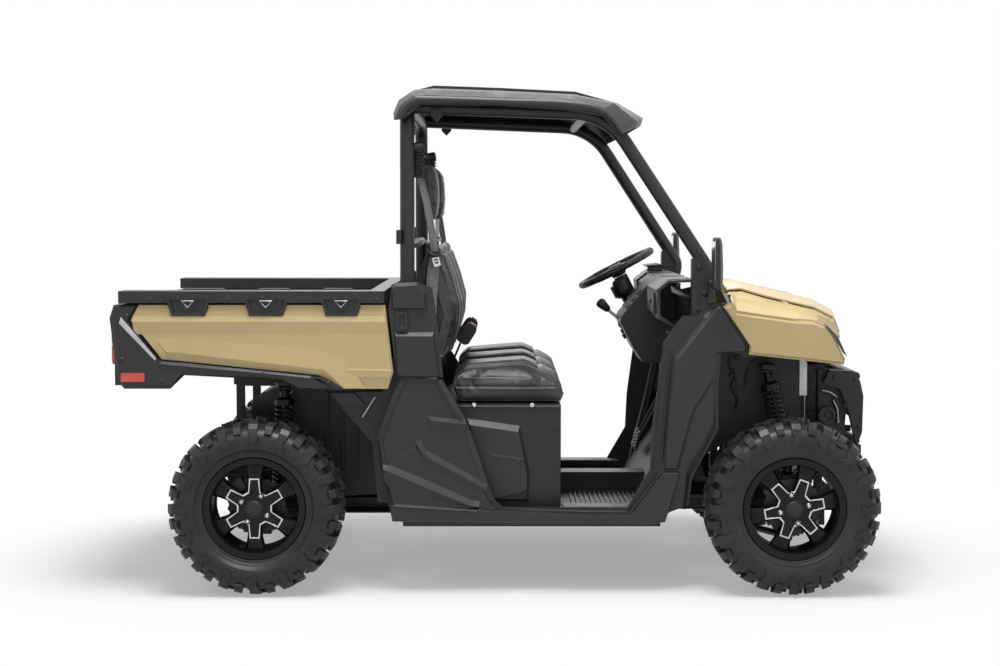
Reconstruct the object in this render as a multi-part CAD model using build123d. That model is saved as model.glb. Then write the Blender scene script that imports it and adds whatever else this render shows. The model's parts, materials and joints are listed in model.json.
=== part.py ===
from build123d import *
import math
import os

os.makedirs("parts", exist_ok=True)

# Side by side utility vehicle. Millimetres, +X forward, +Y left, +Z up.
# The origin is on the ground, at the middle of the vehicle's length and width.

# ---- driving dimensions ------------------------------------------------------------
FRONT_AXLE_X = 1117.0
WHEELBASE = 2050.0
REAR_AXLE_X = FRONT_AXLE_X - WHEELBASE
HUB_Z = 336.0                 # loaded radius of the tyres
TYRE_SIDES = 32
TYRE_LUGS = 16                # long shoulder lugs on each side of a tyre
LUG_HALF_WIDTH = 18.0

FRONT_WHEEL_Y = 695.0         # middle plane of each front wheel
REAR_WHEEL_Y = 670.0
FRONT_TYRE_HALF = 115.0
REAR_TYRE_HALF = 140.0
BEAD_R = 178.0                # a 14 inch rim
RIM_FLANGE_R = 196.0
RIM_FLANGE_T = 8.0
BARREL_T = 11.5

KINGPIN_Y = 615.0             # steering axis, upright
KINGPIN_REACH = 95.0          # hub centre to each ball joint
STUB_R = 28.0
RUNNING_GAP = 0.1             # radial gap of a shaft in its bore
STEER_ARM = 80.0              # kingpin to tie rod end, behind the axle
TIE_ROD_Z = 392.0

RAIL_Y = 190.0                # lower chassis rails
RAIL = 40.0
RAIL_Z = 248.0
FLOOR_Z = 288.0

ROOF_TUBE_R = 28.0
HOOP_X = -355.0               # B pillar hoop
HOOP_Y = 645.0
ROOF_RAIL_Y = 620.0

BED_PIVOT_X = -1057.0
BED_PIVOT_Z = 790.0
BED_REAR_X = -1440.0
BED_FRONT_X = -440.0
BED_FLOOR_Z = 862.0
BED_INNER_Y = 610.0
BED_SIDE_Y = 715.0
BED_RIM_TOP = 1160.0
TAILGATE_PIVOT_X = -1458.0
TAILGATE_PIVOT_Z = 846.0

STRUT_Y = 290.0
STRUT_LOW = (-860.0, 540.0)
STRUT_HIGH = (-757.0, 830.0)

STEERING_Y = 360.0            # driver sits on the left
WHEEL_CENTRE_X = 510.0
WHEEL_CENTRE_Z = 1214.0
WHEEL_RAKE = 27.0             # degrees from level, front edge up
STEERING_RIM_R = 182.0
COLUMN_LENGTH = 270.0         # steering wheel to the tilt pivot

HOOD_PIVOT_X = 884.0
HOOD_PIVOT_Z = 1140.0
MIRROR_PIVOT_X = 806.0
MIRROR_PIVOT_Y = 700.0

MIRROR_PLANE = Plane.XZ


# ---- helpers ------------------------------------------------------------------------
def group(*shapes):
    """One compound of every solid in the shapes, not fused."""
    solids = []
    for shape in shapes:
        solids.extend(shape.solids())
    return Compound(solids)


def join(*shapes):
    """Every solid in the shapes, fused where they touch."""
    solids = group(*shapes).solids()
    if len(solids) == 1:
        return Compound(solids)
    return Compound(solids[0].fuse(*solids[1:]).solids())


def cut(shape, *tools):
    """The shape with each tool taken away."""
    knives = group(*tools).solids()
    kept = []
    for solid in shape.solids():
        kept.extend(solid.cut(*knives).solids())
    return Compound(kept)


def both_sides(shape):
    """The shape and its mirror image across the vehicle's middle plane."""
    return join(shape, mirror(shape, about=MIRROR_PLANE))


def block(x_range, y_range, z_range):
    """A box between two corners."""
    size = [pair[1] - pair[0] for pair in (x_range, y_range, z_range)]
    middle = [(pair[0] + pair[1]) / 2 for pair in (x_range, y_range, z_range)]
    return Pos(*middle) * Box(*size)


def plate(points, y_low, y_high):
    """A flat plate: an outline of (x, z) points between two y values."""
    outline = Polyline(*[(x, y_low, z) for x, z in points], close=True)
    return extrude(make_face(outline), amount=y_high - y_low, dir=(0, 1, 0))


def cross_plate(points, x_low, x_high):
    """A flat plate across the vehicle: an outline of (y, z) points."""
    outline = Polyline(*[(x_low, y, z) for y, z in points], close=True)
    return extrude(make_face(outline), amount=x_high - x_low, dir=(1, 0, 0))


def level_plate(points, z_low, z_high):
    """A level plate: an outline of (x, y) points between two heights."""
    outline = Polyline(*[(x, y, z_low) for x, y in points], close=True)
    return extrude(make_face(outline), amount=z_high - z_low, dir=(0, 0, 1))


def rod(start, end, radius):
    """A round bar between two points."""
    start = Vector(*start)
    end = Vector(*end)
    along = end - start
    disc = Plane(origin=start, z_dir=along) * Circle(radius)
    return extrude(disc, amount=along.length, dir=along.normalized())


def tube(points, radius, bends):
    """A round bar along straight runs joined by bends of the given radii."""
    path = FilletPolyline(*points, radius=bends)
    start = Vector(*points[0])
    along = Vector(*points[1]) - start
    disc = Plane(origin=start, z_dir=along) * Circle(radius)
    return sweep(disc, path=path)


def skin_loft(stations):
    """A ruled loft through closed (x, z) outlines, one at each y."""
    faces = []
    for y, points in stations:
        outline = Polyline(*[(x, y, z) for x, z in points], close=True)
        faces.append(make_face(outline))
    return loft(faces, ruled=True)


def sheet_outline(top, thickness, lean=0.0):
    """A thin closed outline: the top points and the same points set back."""
    under = [(x - lean, z - thickness) for x, z in reversed(top)]
    return list(top) + under


def inset_outline(rows):
    """Corner rows (x, z, inset of the edge that starts there) with each edge moved inward."""
    ahead = rows[1:] + rows[:1]
    turning = sum(x0 * z1 - x1 * z0 for (x0, z0, _), (x1, z1, _) in zip(rows, ahead))
    hand = math.copysign(1, turning)
    edges = []
    for (x0, z0, inset), (x1, z1, _) in zip(rows, ahead):
        dx = x1 - x0
        dz = z1 - z0
        shift = hand * inset / math.hypot(dx, dz)
        edges.append((x0 - dz * shift, z0 + dx * shift, dx, dz))
    points = []
    for (ax, az, adx, adz), (bx, bz, bdx, bdz) in zip(edges[-1:] + edges[:-1], edges):
        share = ((bx - ax) * bdz - (bz - az) * bdx) / (adx * bdz - adz * bdx)
        points.append((ax + adx * share, az + adz * share))
    return points


def field(rows, y_low, y_high):
    """A raised field with sloping edges, from rows of x, z and the slope's width on the edge that follows."""
    foot = [(x, z) for x, z, _ in rows]
    return skin_loft([(y_low, foot), (y_high, inset_outline(rows))])


def facets(sides, radius, y):
    """A regular polygon across the wheel's axle, standing on a flat side."""
    corner_r = radius / math.cos(math.pi / sides)
    points = []
    for k in range(sides):
        angle = 2 * math.pi * (k + 0.5) / sides - math.pi / 2
        points.append((corner_r * math.cos(angle), y, corner_r * math.sin(angle)))
    return make_face(Polyline(*points, close=True))


def along_y(radius, y_low, y_high, x=0.0, z=0.0):
    """A round bar across the vehicle."""
    return rod((x, y_low, z), (x, y_high, z), radius)


def save(node, *shapes):
    """Write one sub-part."""
    export_step(group(*shapes), f"parts/{node}.step")


# ---- wheels -------------------------------------------------------------------------
TYRE_SECTION = [              # carcass from sidewall to crown: y inside the half width, radius
    (6.0, 250.0),
    (38.0, 312.0),
]
LUG_SECTION = [               # y inside the half width, radius, from the foot to the tip and back inside
    (20.0, 254.0), (0.0, 256.0), (0.0, 296.0), (17.0, 336.0), (68.0, 336.0), (68.0, 304.0),
]
BEAD_FACE_R = 212.0           # outer radius of the flat beside the rim
SPOKES = 6
STAR_POINTS = [               # radius, half angle from the arm's middle, in degrees
    (117.0, 9.5),
    (68.0, 10.5),
]


def tyre(half_width, bead_half):
    """A closed carcass around the rim, with the lugs of both shoulders fused to it."""
    rings = [(bead_half, BEAD_FACE_R)] + [(half_width - inside, radius) for inside, radius in TYRE_SECTION]
    whole = [(-y, radius) for y, radius in rings] + [(y, radius) for y, radius in reversed(rings)]
    carcass = loft([facets(TYRE_SIDES, radius, y) for y, radius in whole], ruled=True)
    lug_outline = [(half_width - inside, radius) for inside, radius in LUG_SECTION]
    lug = cross_plate(lug_outline, -LUG_HALF_WIDTH, LUG_HALF_WIDTH)
    pitch = 360 / TYRE_LUGS
    lugs = []
    for k in range(TYRE_LUGS):
        lugs.append(Rot(0, (k + 0.5) * pitch, 0) * lug)
        lugs.append(Rot(0, k * pitch, 0) * mirror(lug, about=MIRROR_PLANE))
    bore = loft([facets(TYRE_SIDES, BEAD_R, -half_width), facets(TYRE_SIDES, BEAD_R, half_width)], ruled=True)
    return cut(join(carcass, *lugs), bore)


def rim_barrel(bead_half):
    """The rolled barrel with a flange at each edge."""
    edge = bead_half + RIM_FLANGE_T
    inner = BEAD_R - BARREL_T
    outer = BEAD_R - 0.5
    section = [
        (inner, -edge),
        (RIM_FLANGE_R, -edge),
        (RIM_FLANGE_R, -bead_half - 0.5),
        (outer, -bead_half - 0.5),
        (outer, bead_half + 0.5),
        (RIM_FLANGE_R, bead_half + 0.5),
        (RIM_FLANGE_R, edge),
        (inner, edge),
    ]
    outline = Polyline(*[(r, y, 0) for r, y in section], close=True)
    return revolve(make_face(outline), axis=Axis.Y)


def polar_plate(corners, y_low, y_high):
    """A plate across the axle from (radius, angle in degrees) corners."""
    points = []
    for radius, angle in corners:
        turn = math.radians(angle)
        points.append((radius * math.cos(turn), radius * math.sin(turn)))
    return plate(points, y_low, y_high)


def rim_disc(y_low, y_high, turn):
    """The six spoke face with its windows, raised star and centre cap."""
    disc = along_y(BEAD_R - BARREL_T + 2, y_low, y_high)
    windows = []
    star = []
    for k in range(SPOKES):
        middle = turn + k * 360 / SPOKES
        gap = middle + 180 / SPOKES
        corners = [(80, gap - 8), (112, gap - 15), (156, gap - 14), (160, gap), (156, gap + 14), (112, gap + 15),
                   (80, gap + 8)]
        windows.append(polar_plate(corners, y_low - 1, y_high + 1))
        for centre, (radius, half) in zip((middle, gap), STAR_POINTS):
            star += [(radius, centre - half), (radius, centre + half)]
    raised = polar_plate(star, y_high - 1, y_high + 6)
    cap = along_y(33, y_high, y_high + 18)
    return join(cut(disc, *windows), raised, cap)


def rim(bead_half, disc_low, stub_low, turn):
    """A wheel rim with its hub and stub axle."""
    disc_high = disc_low + 24
    hub = along_y(62, disc_low - 26, disc_low + 1)
    stub = along_y(STUB_R, stub_low, disc_low)
    return join(rim_barrel(bead_half), rim_disc(disc_low, disc_high, turn), hub, stub)


# corner, axle x, side, wheel plane, tyre half width, bead half, disc, stub end, turn
WHEELS = [
    ("front_left", FRONT_AXLE_X, 1, FRONT_WHEEL_Y, FRONT_TYRE_HALF, 89.0, 58.0, -30.0, 11),
    ("front_right", FRONT_AXLE_X, -1, FRONT_WHEEL_Y, FRONT_TYRE_HALF, 89.0, 58.0, -30.0, 11),
    ("rear_left", REAR_AXLE_X, 1, REAR_WHEEL_Y, REAR_TYRE_HALF, 102.0, 72.0, -70.0, 30),
    ("rear_right", REAR_AXLE_X, -1, REAR_WHEEL_Y, REAR_TYRE_HALF, 102.0, 72.0, -70.0, 30),
]


def build_wheels():
    for corner, x, side, plane_y, half, bead_half, disc, stub, turn in WHEELS:
        place = Pos(x, plane_y, HUB_Z)
        rubber = place * tyre(half, bead_half)
        metal = place * rim(bead_half, disc, stub, turn)
        if side < 0:
            rubber = mirror(rubber, about=MIRROR_PLANE)
            metal = mirror(metal, about=MIRROR_PLANE)
        save(f"tyre_{corner}", rubber)
        save(f"rim_{corner}", metal)


# ---- steering knuckles and rack -------------------------------------------------------
POST_Y = (665.0, 700.0)
POST_HALF_X = 34.0
BALL_PIN_R = 9.0
LUG_T = 22.0


def knuckle():
    """The left front knuckle: a post with two lugs that reach in to the kingpin."""
    x = FRONT_AXLE_X
    top = HUB_Z + KINGPIN_REACH
    low = HUB_Z - KINGPIN_REACH
    post = block((x - POST_HALF_X, x + POST_HALF_X), POST_Y, (low - LUG_T, top + LUG_T))
    bore = along_y(STUB_R + RUNNING_GAP, POST_Y[0] - 1, POST_Y[1] + 1, x, HUB_Z)
    lugs = []
    holes = []
    for z in (low - LUG_T, top):
        lugs.append(block((x - 20, x + 20), (KINGPIN_Y - 22, POST_Y[0] + 1), (z, z + LUG_T)))
        holes.append(rod((x, KINGPIN_Y, z - 1), (x, KINGPIN_Y, z + LUG_T + 1), BALL_PIN_R + RUNNING_GAP))
    arm_x = x - STEER_ARM
    arm = level_plate(
        [
            (x - POST_HALF_X + 1, POST_Y[0]),
            (x - POST_HALF_X + 1, POST_Y[1]),
            (arm_x - 14, KINGPIN_Y + 14),
            (arm_x - 14, KINGPIN_Y - 14),
            (arm_x + 14, KINGPIN_Y - 14),
        ],
        TIE_ROD_Z + 17,
        TIE_ROD_Z + 33,
    )
    return cut(join(post, *lugs, arm), bore, *holes)


def tie_rods():
    """The rack bar across the vehicle, its tie rods and their ball ends."""
    x = FRONT_AXLE_X - STEER_ARM
    bar = rod((x, -KINGPIN_Y, TIE_ROD_Z), (x, KINGPIN_Y, TIE_ROD_Z), 9)
    ends = [rod((x, side * KINGPIN_Y, TIE_ROD_Z - 12), (x, side * KINGPIN_Y, TIE_ROD_Z + 12), 11)
            for side in (-1, 1)]
    boots = [rod((x, side * 262, TIE_ROD_Z), (x, side * 330, TIE_ROD_Z), 20) for side in (-1, 1)]
    return join(bar, *ends, *boots)


def build_steering():
    left = knuckle()
    save("knuckle_left", left)
    save("knuckle_right", mirror(left, about=MIRROR_PLANE))
    save("tie_rods", tie_rods())
    x = FRONT_AXLE_X - STEER_ARM
    housing = rod((x, -190, TIE_ROD_Z), (x, 190, TIE_ROD_Z), 24)
    bore = rod((x, -191, TIE_ROD_Z), (x, 191, TIE_ROD_Z), 9 + RUNNING_GAP)
    save("rack_housing", cut(housing, bore))


def column_point(distance):
    """A point on the steering axis, measured down from the wheel's centre."""
    rake = math.radians(WHEEL_RAKE)
    x = WHEEL_CENTRE_X + distance * math.sin(rake)
    z = WHEEL_CENTRE_Z - distance * math.cos(rake)
    return (x, STEERING_Y, z)


def build_column():
    axis = Vector(*column_point(0)) - Vector(*column_point(1))
    seat = Plane(origin=column_point(0), z_dir=axis, x_dir=(0, 1, 0))
    grip = seat * Torus(STEERING_RIM_R - 15, 15)
    hub = rod(column_point(34), column_point(-6), 38)
    spokes = []
    for angle in (0, 180, 270):
        bar = Rot(0, 0, angle) * Pos(STEERING_RIM_R / 2 - 7, 0, -8) * Box(STEERING_RIM_R - 20, 34, 8)
        spokes.append(seat * bar)
    save("steering_wheel", join(grip, hub, *spokes))
    shroud = rod(column_point(COLUMN_LENGTH - 20), column_point(40), 31)
    pin = along_y(9, STEERING_Y - 44, STEERING_Y + 44, *column_pivot())
    knuckle_end = rod(column_point(COLUMN_LENGTH + 22), column_point(COLUMN_LENGTH - 30), 22)
    save("steering_column", join(shroud, knuckle_end, pin))


def column_pivot():
    x, _, z = column_point(COLUMN_LENGTH)
    return (x, z)


# ---- chassis --------------------------------------------------------------------------
FRAME_REAR_X = -1110.0
FRAME_FRONT_X = 1320.0
BULKHEAD_Y = 240.0
FRONT_ARM_SPREAD = 180.0
LOWER_ARM_MOUNTS = [          # x, height of each lower wishbone bush
    (FRONT_AXLE_X - FRONT_ARM_SPREAD, 203.0),
    (FRONT_AXLE_X + FRONT_ARM_SPREAD, 203.0),
    (REAR_AXLE_X - 120, 218.0),
    (REAR_AXLE_X + 130, 218.0),
]


FRAME_SPLITS = {              # node: its share of the welded frame along x
    "frame_front": (760.0, 1400.0),
    "frame_middle": (-430.0, 760.0),
    "frame_rear": (-1200.0, -430.0),
}


def frame():
    """Two lower rails, cross members, outriggers, front bulkhead and rear cradle."""
    rails = block((FRAME_REAR_X, FRAME_FRONT_X), (RAIL_Y - RAIL / 2, RAIL_Y + RAIL / 2), (RAIL_Z, FLOOR_Z))
    cross = []
    for x, reach in [(-1090, 190), (-640, 190), (-355, 655), (-100, 655), (250, 655), (600, 600), (1290, 190)]:
        cross.append(block((x - 20, x + 20), (-reach, reach), (RAIL_Z, FLOOR_Z)))
    sills = block((-375, 620), (620, 660), (RAIL_Z, FLOOR_Z))
    posts = []
    for x, top in [(930, 840), (1300, 840), (-1057, 770), (-780, 770)]:
        posts.append(block((x - 16, x + 16), (BULKHEAD_Y - 16, BULKHEAD_Y + 16), (FLOOR_Z - 1, top)))
        posts.append(block((x - 16, x + 16), (RAIL_Y, BULKHEAD_Y), (RAIL_Z, FLOOR_Z)))
    longs = []
    for x_low, x_high, z in [(930, 1300, 808), (930, 1300, 453), (-1057, -780, 754), (-1057, -780, 520),
                             (-1057, -780, 432)]:
        longs.append(block((x_low, x_high), (BULKHEAD_Y - 16, BULKHEAD_Y + 16), (z, z + 32)))
    for x, z in LOWER_ARM_MOUNTS:
        longs.append(block((x - 30, x + 30), (RAIL_Y + 18, BULKHEAD_Y + 16), (z - 14, FLOOR_Z)))
    towers = block((1040, 1090), (BULKHEAD_Y, 450), (838, 856))
    rear_towers = level_plate([(-935, 245), (-905, 245), (-836, 440), (-880, 440)], 768, 786)
    side = join(rails, sills, *posts, *longs, towers, rear_towers)
    ears = []
    for y in (BULKHEAD_Y - 16, BULKHEAD_Y + 8):
        ears.append(block((-1083, -1031), (y, y + 8), (760, 812)))
    side = join(side, *ears)
    spans = [
        block((914, 946), (-BULKHEAD_Y, BULKHEAD_Y), (808, 840)),
        block((1284, 1316), (-BULKHEAD_Y, BULKHEAD_Y), (808, 840)),
        block((-796, -764), (-BULKHEAD_Y, BULKHEAD_Y), (754, 770)),
        block((-1073, -1041), (-BULKHEAD_Y, BULKHEAD_Y), (500, 532)),
    ]
    bore = along_y(10 + RUNNING_GAP, -BULKHEAD_Y - 20, BULKHEAD_Y + 20, BED_PIVOT_X, BED_PIVOT_Z)
    strut_tab = block((-884, -836), (BULKHEAD_Y + 15, STRUT_Y - 16), (520, 560))
    strut_bore = along_y(6 + RUNNING_GAP, BULKHEAD_Y - 20, STRUT_Y, *STRUT_LOW)
    whole = join(both_sides(side), *cross, *spans, strut_tab)
    return cut(whole, bore, strut_bore)


def build_frame():
    """The welded frame, written as three lengths that meet face to face."""
    whole = frame()
    for node, (low, high) in FRAME_SPLITS.items():
        behind = block((-2000, low), (-900, 900), (0, 1200))
        ahead = block((high, 2000), (-900, 900), (0, 1200))
        save(node, cut(whole, behind, ahead))


def skid_plates():
    """Flat guards under the nose, the floor and the engine."""
    belly = level_plate(
        [(-1000, 204), (-760, 204), (-690, 300), (560, 300), (560, -300), (-690, -300), (-760, -204), (-1000, -204)],
        240,
        246,
    )
    nose = plate([(620, 240), (1330, 240), (1396, 300), (1392, 306), (1328, 246), (620, 246)], -204, 204)
    return group(belly, nose)


HITCH_Z = 398.0
HITCH_REAR_X = -1326.0
HITCH_PIN_X = -1300.0


def hitch():
    """A square receiver tube on the rear cradle."""
    outer = block((HITCH_REAR_X, -1096), (-32, 32), (366, 430))
    inner = block((HITCH_REAR_X - 10, -1112), (-25.4, 25.4), (372.6, 423.4))
    pin = along_y(8, -40, 40, HITCH_PIN_X, HITCH_Z)
    web = level_plate([(-1110, -200), (-1110, 200), (-1240, 30), (-1240, -30)], HITCH_Z - 5, HITCH_Z + 5)
    drop = block((-1112, -1096), (-240, 240), (366, 430))
    legs = [block((-1112, -1073), (y, y + 32), (FLOOR_Z, 430)) for y in (-256, 224)]
    collar = block((HITCH_REAR_X - 4, HITCH_REAR_X + 8), (-38, 38), (360, 436))
    return cut(join(outer, drop, collar, web, *legs), inner, pin)


def shaft_ball(x, y, radius):
    return Pos(x, y, HUB_Z) * Sphere(radius)


def driveline():
    """Front and rear final drives, prop shaft and half shafts."""
    front_case = block((1062, 1200), (-95, 95), (292, 410))
    rear_case = block((-1010, -800), (-110, 110), (296, 440))
    prop = rod((-340, 0, 326), (1062, 0, 326), 16)
    shafts = []
    for x, case_y, end_y in [(FRONT_AXLE_X, 94, KINGPIN_Y), (REAR_AXLE_X, 109, 561)]:
        shafts.append(rod((x, case_y, HUB_Z), (x, end_y, HUB_Z), 14))
        shafts.append(rod((x, case_y, HUB_Z), (x, case_y + 60, HUB_Z), 36))
    ball = shaft_ball(FRONT_AXLE_X, KINGPIN_Y, 40)
    side = join(*shafts, ball)
    return group(join(front_case, rear_case, both_sides(side)), prop)


ARM_TUBE_R = 13.0
FRONT_ARM_Z = (HUB_Z - KINGPIN_REACH - LUG_T - 16, HUB_Z + KINGPIN_REACH + LUG_T + 16)
ARM_BUSH_Y = 273.0
REAR_ARMS = [                 # height, reach of each bush from the axle along x
    (HUB_Z - 118, (-120, 130)),
    (HUB_Z + 112, (-120, 40)),
]


def front_arms():
    """Upper and lower wishbones on each side of the front axle."""
    pieces = []
    for z, lug_z in zip(FRONT_ARM_Z, (HUB_Z - KINGPIN_REACH - LUG_T, HUB_Z + KINGPIN_REACH)):
        for dx in (-FRONT_ARM_SPREAD, FRONT_ARM_SPREAD):
            x = FRONT_AXLE_X + dx
            pieces.append(rod((FRONT_AXLE_X, KINGPIN_Y, z), (x, ARM_BUSH_Y, z), ARM_TUBE_R))
            pieces.append(rod((x - 24, ARM_BUSH_Y, z), (x + 24, ARM_BUSH_Y, z), 17))
        pieces.append(rod((FRONT_AXLE_X, KINGPIN_Y, z - 14), (FRONT_AXLE_X, KINGPIN_Y, z + 14), 20))
        pin_low = min(z, lug_z)
        pin_high = max(z, lug_z + LUG_T)
        pieces.append(rod((FRONT_AXLE_X, KINGPIN_Y, pin_low), (FRONT_AXLE_X, KINGPIN_Y, pin_high), BALL_PIN_R))
    return both_sides(join(*pieces))


def rear_arms():
    """Upper and lower wishbones with the upright on each side of the rear axle."""
    upright = block((REAR_AXLE_X - 42, REAR_AXLE_X + 42), (562, 600), (HUB_Z - 128, HUB_Z + 122))
    bearing = along_y(STUB_R + RUNNING_GAP, 571, 601, REAR_AXLE_X, HUB_Z)
    pieces = [upright]
    for z, spread in REAR_ARMS:
        for dx in spread:
            x = REAR_AXLE_X + dx
            pieces.append(rod((REAR_AXLE_X, 590, z), (x, ARM_BUSH_Y, z), ARM_TUBE_R))
            pieces.append(rod((x - 24, ARM_BUSH_Y, z), (x + 24, ARM_BUSH_Y, z), 17))
    return both_sides(cut(join(*pieces), bearing))


# shock: lower eye (x, y, z), upper eye (x, y, z)
SHOCKS = [
    ((1190, 468, 225), (1060, 425, 832)),
    ((-870, 470, 236), (-855, 425, 763)),
]
COIL_TURNS = 8


def shocks():
    """Four dampers, each with the turns of its coil spring as discs on the body."""
    pieces = []
    for low, high in SHOCKS:
        low = Vector(*low)
        high = Vector(*high)
        along = high - low
        body = [rod(tuple(low), tuple(high), 22)]
        for k in range(COIL_TURNS):
            share = 0.24 + 0.62 * k / (COIL_TURNS - 1)
            body.append(rod(tuple(low + along * share), tuple(low + along * (share + 0.03)), 40))
        pieces.append(join(*body))
    return both_sides(group(*pieces))


def engine():
    return block((-750, -340), (-170, 170), (294, 640))


def muffler():
    """A drum across the rear with its tail pipe."""
    drum = along_y(72, -300, 205, -935, 662)
    pipe = tube([(-935, -150, 662), (-935, -150, 566), (-1150, -150, 566)], 20, 60)
    return join(drum, pipe)


def radiator():
    core = block((1206, 1246), (-215, 215), (590, 800))
    fan = rod((1180, 0, 690), (1207, 0, 690), 95)
    return join(core, fan)


# ---- cab ------------------------------------------------------------------------------
def cab_frame():
    """The hoop behind the seats, the two side tubes and the cross tubes."""
    hoop = tube(
        [
            (HOOP_X, -HOOP_Y, FLOOR_Z),
            (HOOP_X, -HOOP_Y, 1180),
            (HOOP_X, -ROOF_RAIL_Y, 1862),
            (HOOP_X, ROOF_RAIL_Y, 1862),
            (HOOP_X, HOOP_Y, 1180),
            (HOOP_X, HOOP_Y, FLOOR_Z),
        ],
        ROOF_TUBE_R,
        [400, 90, 90, 400],
    )
    side = tube(
        [
            (HOOP_X, ROOF_RAIL_Y - 40, 1864),
            (410, ROOF_RAIL_Y - 10, 1834),
            (758, HOOP_Y, 1302),
            (806, HOOP_Y, 1228),
            (684, HOOP_Y - 36, 640),
            (600, HOOP_Y - 36, FLOOR_Z + 8),
        ],
        ROOF_TUBE_R - 2,
        [250, 60, 60, 120],
    )
    crosses = [
        rod((HOOP_X, -HOOP_Y + 14, 1330), (HOOP_X, HOOP_Y - 14, 1330), 18),
        rod((HOOP_X, -HOOP_Y, 1010), (HOOP_X, HOOP_Y, 1010), 18),
        rod((HOOP_X, -HOOP_Y, 760), (HOOP_X, HOOP_Y, 760), 18),
        rod((330, -ROOF_RAIL_Y + 20, 1836), (330, ROOF_RAIL_Y - 20, 1836), 20),
        rod((772, -HOOP_Y, 1116), (772, HOOP_Y, 1116), 16),
    ]
    foot = plate([(733, 1062), (733, 1280), (764, 1306), (806, 1236), (806, 1062)], HOOP_Y - 22, HOOP_Y + 24)
    ears = []
    for y in (-279, 272):
        ears.append(plate([(772, 1100), (896, 1124), (896, 1146), (872, 1146), (772, 1122)], y, y + 7))
    pins = [along_y(5, y, y + 29, HOOD_PIVOT_X, HOOD_PIVOT_Z) for y in (-279, 250)]
    return join(hoop, both_sides(join(side, foot)), *crosses, *ears, *pins)


ROOF_EDGE = [                 # (x, z) along the top from back to front, then back along the lower edge
    (-402, 1808), (-379, 1861), (-333, 1897), (-284, 1902), (0, 1893), (265, 1884), (398, 1853), (474, 1760),
    (456, 1752), (388, 1822), (260, 1844), (0, 1861), (-303, 1865), (-364, 1812),
]
ROOF_CROWN = [
    (-416, 1862), (-396, 1912), (-330, 1950), (-250, 1955), (0, 1946), (300, 1930), (470, 1896), (576, 1839),
    (568, 1806), (456, 1850), (300, 1866), (0, 1876), (-303, 1876), (-388, 1862),
]
ROOF_TOP_POINTS = 8
ROOF_SKIN = 9.0
ROOF_HALF = 680.0
ROOF_RIBS = (-450, -270, 270, 450)
ROOF_RIB_HALF = 34.0
ROOF_STATIONS = [(-1.0, 0.0), (-0.88, 0.55), (-0.56, 0.9), (0.0, 1.0), (0.56, 0.9), (0.88, 0.55), (1.0, 0.0)]


def roof_section(share):
    """A roof section between the edge (0) and the crown (1)."""
    return [(a + (c - a) * share, b + (d - b) * share) for (a, b), (c, d) in zip(ROOF_EDGE, ROOF_CROWN)]


def roof_void(share):
    """The space inside that section, left open below."""
    top = roof_section(share)[:ROOF_TOP_POINTS]
    middle = (top[0][0] + top[-1][0]) / 2
    reach = 1 - 2.4 * ROOF_SKIN / (top[-1][0] - top[0][0])
    inner = [(middle + (x - middle) * reach, z - ROOF_SKIN) for x, z in top]
    return inner + [(inner[-1][0], 1600), (inner[0][0], 1600)]


def roof_rib(y):
    """A long raised rib that follows the crown."""
    reach = abs(y) / ROOF_HALF
    stations = [(abs(share_y), share) for share_y, share in ROOF_STATIONS[3:]]
    for (y_in, high), (y_out, low) in zip(stations, stations[1:]):
        if y_in <= reach <= y_out:
            share = high + (low - high) * (reach - y_in) / (y_out - y_in)
    top = roof_section(share)[2:ROOF_TOP_POINTS - 1]
    start, *middle, end = top
    raised = [(start[0] + 20, start[1])] + [(x, z + 8) for x, z in middle] + [(end[0] - 12, end[1])]
    under = [(x, z - 4) for x, z in reversed(top)]
    return plate(raised + under, y - ROOF_RIB_HALF, y + ROOF_RIB_HALF)


def roof():
    """A moulded roof: a crowned shell with its edges turned down and ribs along its top."""
    shell = skin_loft([(y * ROOF_HALF, roof_section(share)) for y, share in ROOF_STATIONS])
    void_half = ROOF_HALF - ROOF_SKIN
    void = skin_loft([(y * void_half, roof_void(share)) for y, share in ROOF_STATIONS])
    return join(cut(shell, void), *[roof_rib(y) for y in ROOF_RIBS])


CAB_HALF = 640.0


def floor():
    """The floor pan with its tunnel, toe board and firewall."""
    pan = block((-150, 566), (-CAB_HALF, CAB_HALF), (FLOOR_Z, FLOOR_Z + 6))
    toe = plate([(560, 288), (700, 500), (724, 560), (724, 900), (718, 900), (718, 562), (694, 504), (556, 294)],
                -CAB_HALF + 60, CAB_HALF - 60)
    tunnel = plate([(-150, 289), (-150, 372), (606, 372), (560, 289)], -55, 55)
    bore = block((-151, 720), (-48, 48), (280, 366))
    sill = block((-150, 566), (CAB_HALF - 1, 662), (FLOOR_Z, 300))
    return cut(join(pan, toe, tunnel, both_sides(sill)), bore)


SEAT_BASE_FIELD = [           # x, z, slope
    (-60, 340, 8), (112, 340, 18), (120, 396, 18), (86, 624, 16), (-132, 667, 8),
]


def seat_base():
    """A moulded box under the bench, open below."""
    shell = plate([(-300, 294), (236, 294), (236, 715), (-156, 715), (-300, 640)], -618, 618)
    inside = plate([(-294, 290), (230, 290), (230, 709), (-154, 709), (-294, 634)], -612, 612)
    back = block((-340, -293), (-618, 618), (642, 648))
    tunnel = block((-301, 240), (-58, 58), (280, 378))
    ledge = field(SEAT_BASE_FIELD, 617, 630)
    return cut(join(cut(shell, inside), back, both_sides(ledge)), tunnel)


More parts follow.
